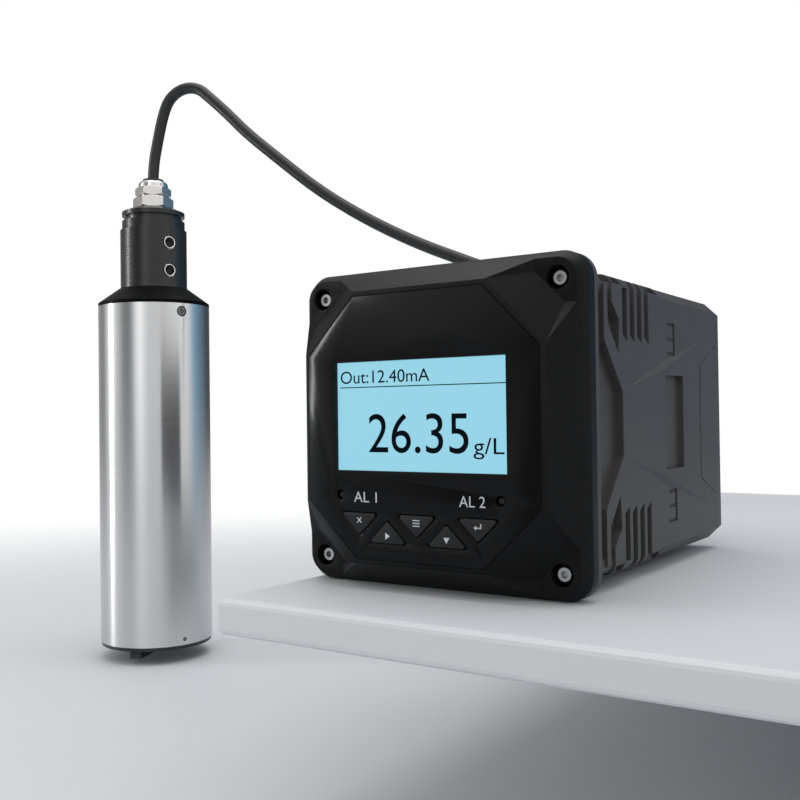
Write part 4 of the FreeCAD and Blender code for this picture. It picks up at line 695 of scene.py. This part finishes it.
dress("emitter_led", optic)

# Stage: a pale floor under the probe and a pale shelf under the controller. Far away the floor
# passes into white, as a studio sweep does.
pale_floor, tree, base = new_material("stage_white", (0.62, 0.63, 0.65), 0.5, specular=0.3)
place = add_node(tree, "ShaderNodeTexCoord")
reach = add_node(tree, "ShaderNodeVectorMath", operation="LENGTH")
fade = add_node(tree, "ShaderNodeMapRange", interpolation_type="SMOOTHSTEP", From_Min=0.45, From_Max=1.1)
ray = add_node(tree, "ShaderNodeLightPath")
both = add_node(tree, "ShaderNodeMath", operation="MULTIPLY")
white = add_node(tree, "ShaderNodeEmission", Color=(1, 1, 1, 1), Strength=1.0)
mixed = add_node(tree, "ShaderNodeMixShader")
tree.links.new(place.outputs["Object"], reach.inputs[0])
tree.links.new(reach.outputs["Value"], fade.inputs["Value"])
tree.links.new(fade.outputs["Result"], both.inputs[0])
tree.links.new(ray.outputs["Is Camera Ray"], both.inputs[1])
tree.links.new(both.outputs[0], mixed.inputs["Fac"])
tree.links.new(base.outputs["BSDF"], mixed.inputs[1])
tree.links.new(white.outputs["Emission"], mixed.inputs[2])
tree.links.new(mixed.outputs["Shader"], tree.nodes["Material Output"].inputs["Surface"])
for label, low, high in (("floor", (-3.0, -3.0, -0.146), (3.0, 3.0, -0.126)),
                         ("slab", (-0.0505, -0.0526, -0.0612), (0.450, 0.400, -0.0502))):
    low, high = Vector(low), Vector(high)
    form = bmesh.new()
    bmesh.ops.create_cube(form, size=1, matrix=Matrix.Translation((low + high) / 2)
                          @ Matrix.Diagonal((*(high - low), 1)))
    mesh = bpy.data.meshes.new(label)
    form.to_mesh(mesh)
    form.free()
    mesh.materials.append(pale_floor)
    block = bpy.data.objects.new(label, mesh)
    collection.objects.link(block)
    rounding = block.modifiers.new("rounding", "BEVEL")
    rounding.width = 0.002
    rounding.segments = 3

# Studio: pale all round, with a darker stretch in front and a blue and a dark one behind, so that
# the tube and the gloss surfaces show upright bands. The camera sees plain white beyond the
# floor. Headings are degrees round from +X, each with the tone that stands there.
world = bpy.data.worlds.new("studio")
bpy.context.scene.world = world
world.use_nodes = True
tree = world.node_tree
place = add_node(tree, "ShaderNodeTexCoord")
split = add_node(tree, "ShaderNodeSeparateXYZ")
heading = add_node(tree, "ShaderNodeMath", operation="ARCTAN2")
turn = add_node(tree, "ShaderNodeMapRange", From_Min=-math.pi, From_Max=math.pi)
round_about = add_node(tree, "ShaderNodeValToRGB")
greys = ((-168, 0.34), (-156, 0.80), (-145, 1.00), (-133, 0.95), (-120, 0.68), (-110, 0.30), (-100, 0.20),
         (-90, 0.40), (-81, 1.20), (-72, 1.60), (-64, 1.20), (-55, 0.90), (-30, 0.90), (10, 1.12), (30, 1.05),
         (122, 0.10), (137, 0.60), (160, 0.40))
blues = ((45, (0.30, 0.52, 0.70)), (57, (0.15, 0.34, 0.50)), (70, (0.14, 0.22, 0.30)),
         (93, (0.05, 0.075, 0.10)))
ends = round_about.color_ramp.elements
for end in ends:
    end.color = (0.30, 0.30, 0.30, 1)
for degrees, colour in [(degrees, (grey, grey, grey)) for degrees, grey in greys] + list(blues):
    ends.new((degrees + 180) / 360).color = (*colour, 1)
height = add_node(tree, "ShaderNodeMapRange", From_Min=0.55, From_Max=0.90)
sky = add_node(tree, "ShaderNodeMix", data_type="RGBA")
sky.inputs["B"].default_value = (0.9, 0.9, 0.9, 1)
shine = tree.nodes["Background"]
seen = add_node(tree, "ShaderNodeBackground", Color=(1, 1, 1, 1), Strength=1.0)
ray = add_node(tree, "ShaderNodeLightPath")
plain = add_node(tree, "ShaderNodeMath", operation="MAXIMUM")
blend = add_node(tree, "ShaderNodeMixShader")
tree.links.new(place.outputs["Generated"], split.inputs["Vector"])
tree.links.new(split.outputs["Y"], heading.inputs[0])
tree.links.new(split.outputs["X"], heading.inputs[1])
tree.links.new(heading.outputs[0], turn.inputs["Value"])
tree.links.new(turn.outputs["Result"], round_about.inputs["Fac"])
tree.links.new(split.outputs["Z"], height.inputs["Value"])
tree.links.new(height.outputs["Result"], sky.inputs["Factor"])
tree.links.new(round_about.outputs["Color"], sky.inputs["A"])
tree.links.new(sky.outputs["Result"], shine.inputs["Color"])
tree.links.new(ray.outputs["Is Camera Ray"], plain.inputs[0])
tree.links.new(ray.outputs["Is Transmission Ray"], plain.inputs[1])
tree.links.new(plain.outputs[0], blend.inputs["Fac"])
tree.links.new(shine.outputs["Background"], blend.inputs[1])
tree.links.new(seen.outputs["Background"], blend.inputs[2])
tree.links.new(blend.outputs["Shader"], tree.nodes["World Output"].inputs["Surface"])


def softbox(label, place, aim, wide, tall, power):
    """Rectangular area light that faces a point."""
    light = bpy.data.lights.new(label, "AREA")
    light.shape = "RECTANGLE"
    light.size, light.size_y = wide, tall
    light.energy = power
    lamp = bpy.data.objects.new(label, light)
    lamp.location = place
    lamp.rotation_euler = (Vector(aim) - Vector(place)).to_track_quat("-Z", "Y").to_euler()
    collection.objects.link(lamp)


softbox("key_left", place=(-0.95, -0.45, 0.05), aim=(-0.25, 0.11, 0.03), wide=0.06, tall=0.9, power=3.4)
softbox("top", place=(-0.05, 0.15, 1.0), aim=(-0.05, 0.1, 0.0), wide=1.0, tall=0.9, power=5.0)

bpy.context.scene.view_settings.view_transform = "Standard"
bpy.context.view_layer.update()
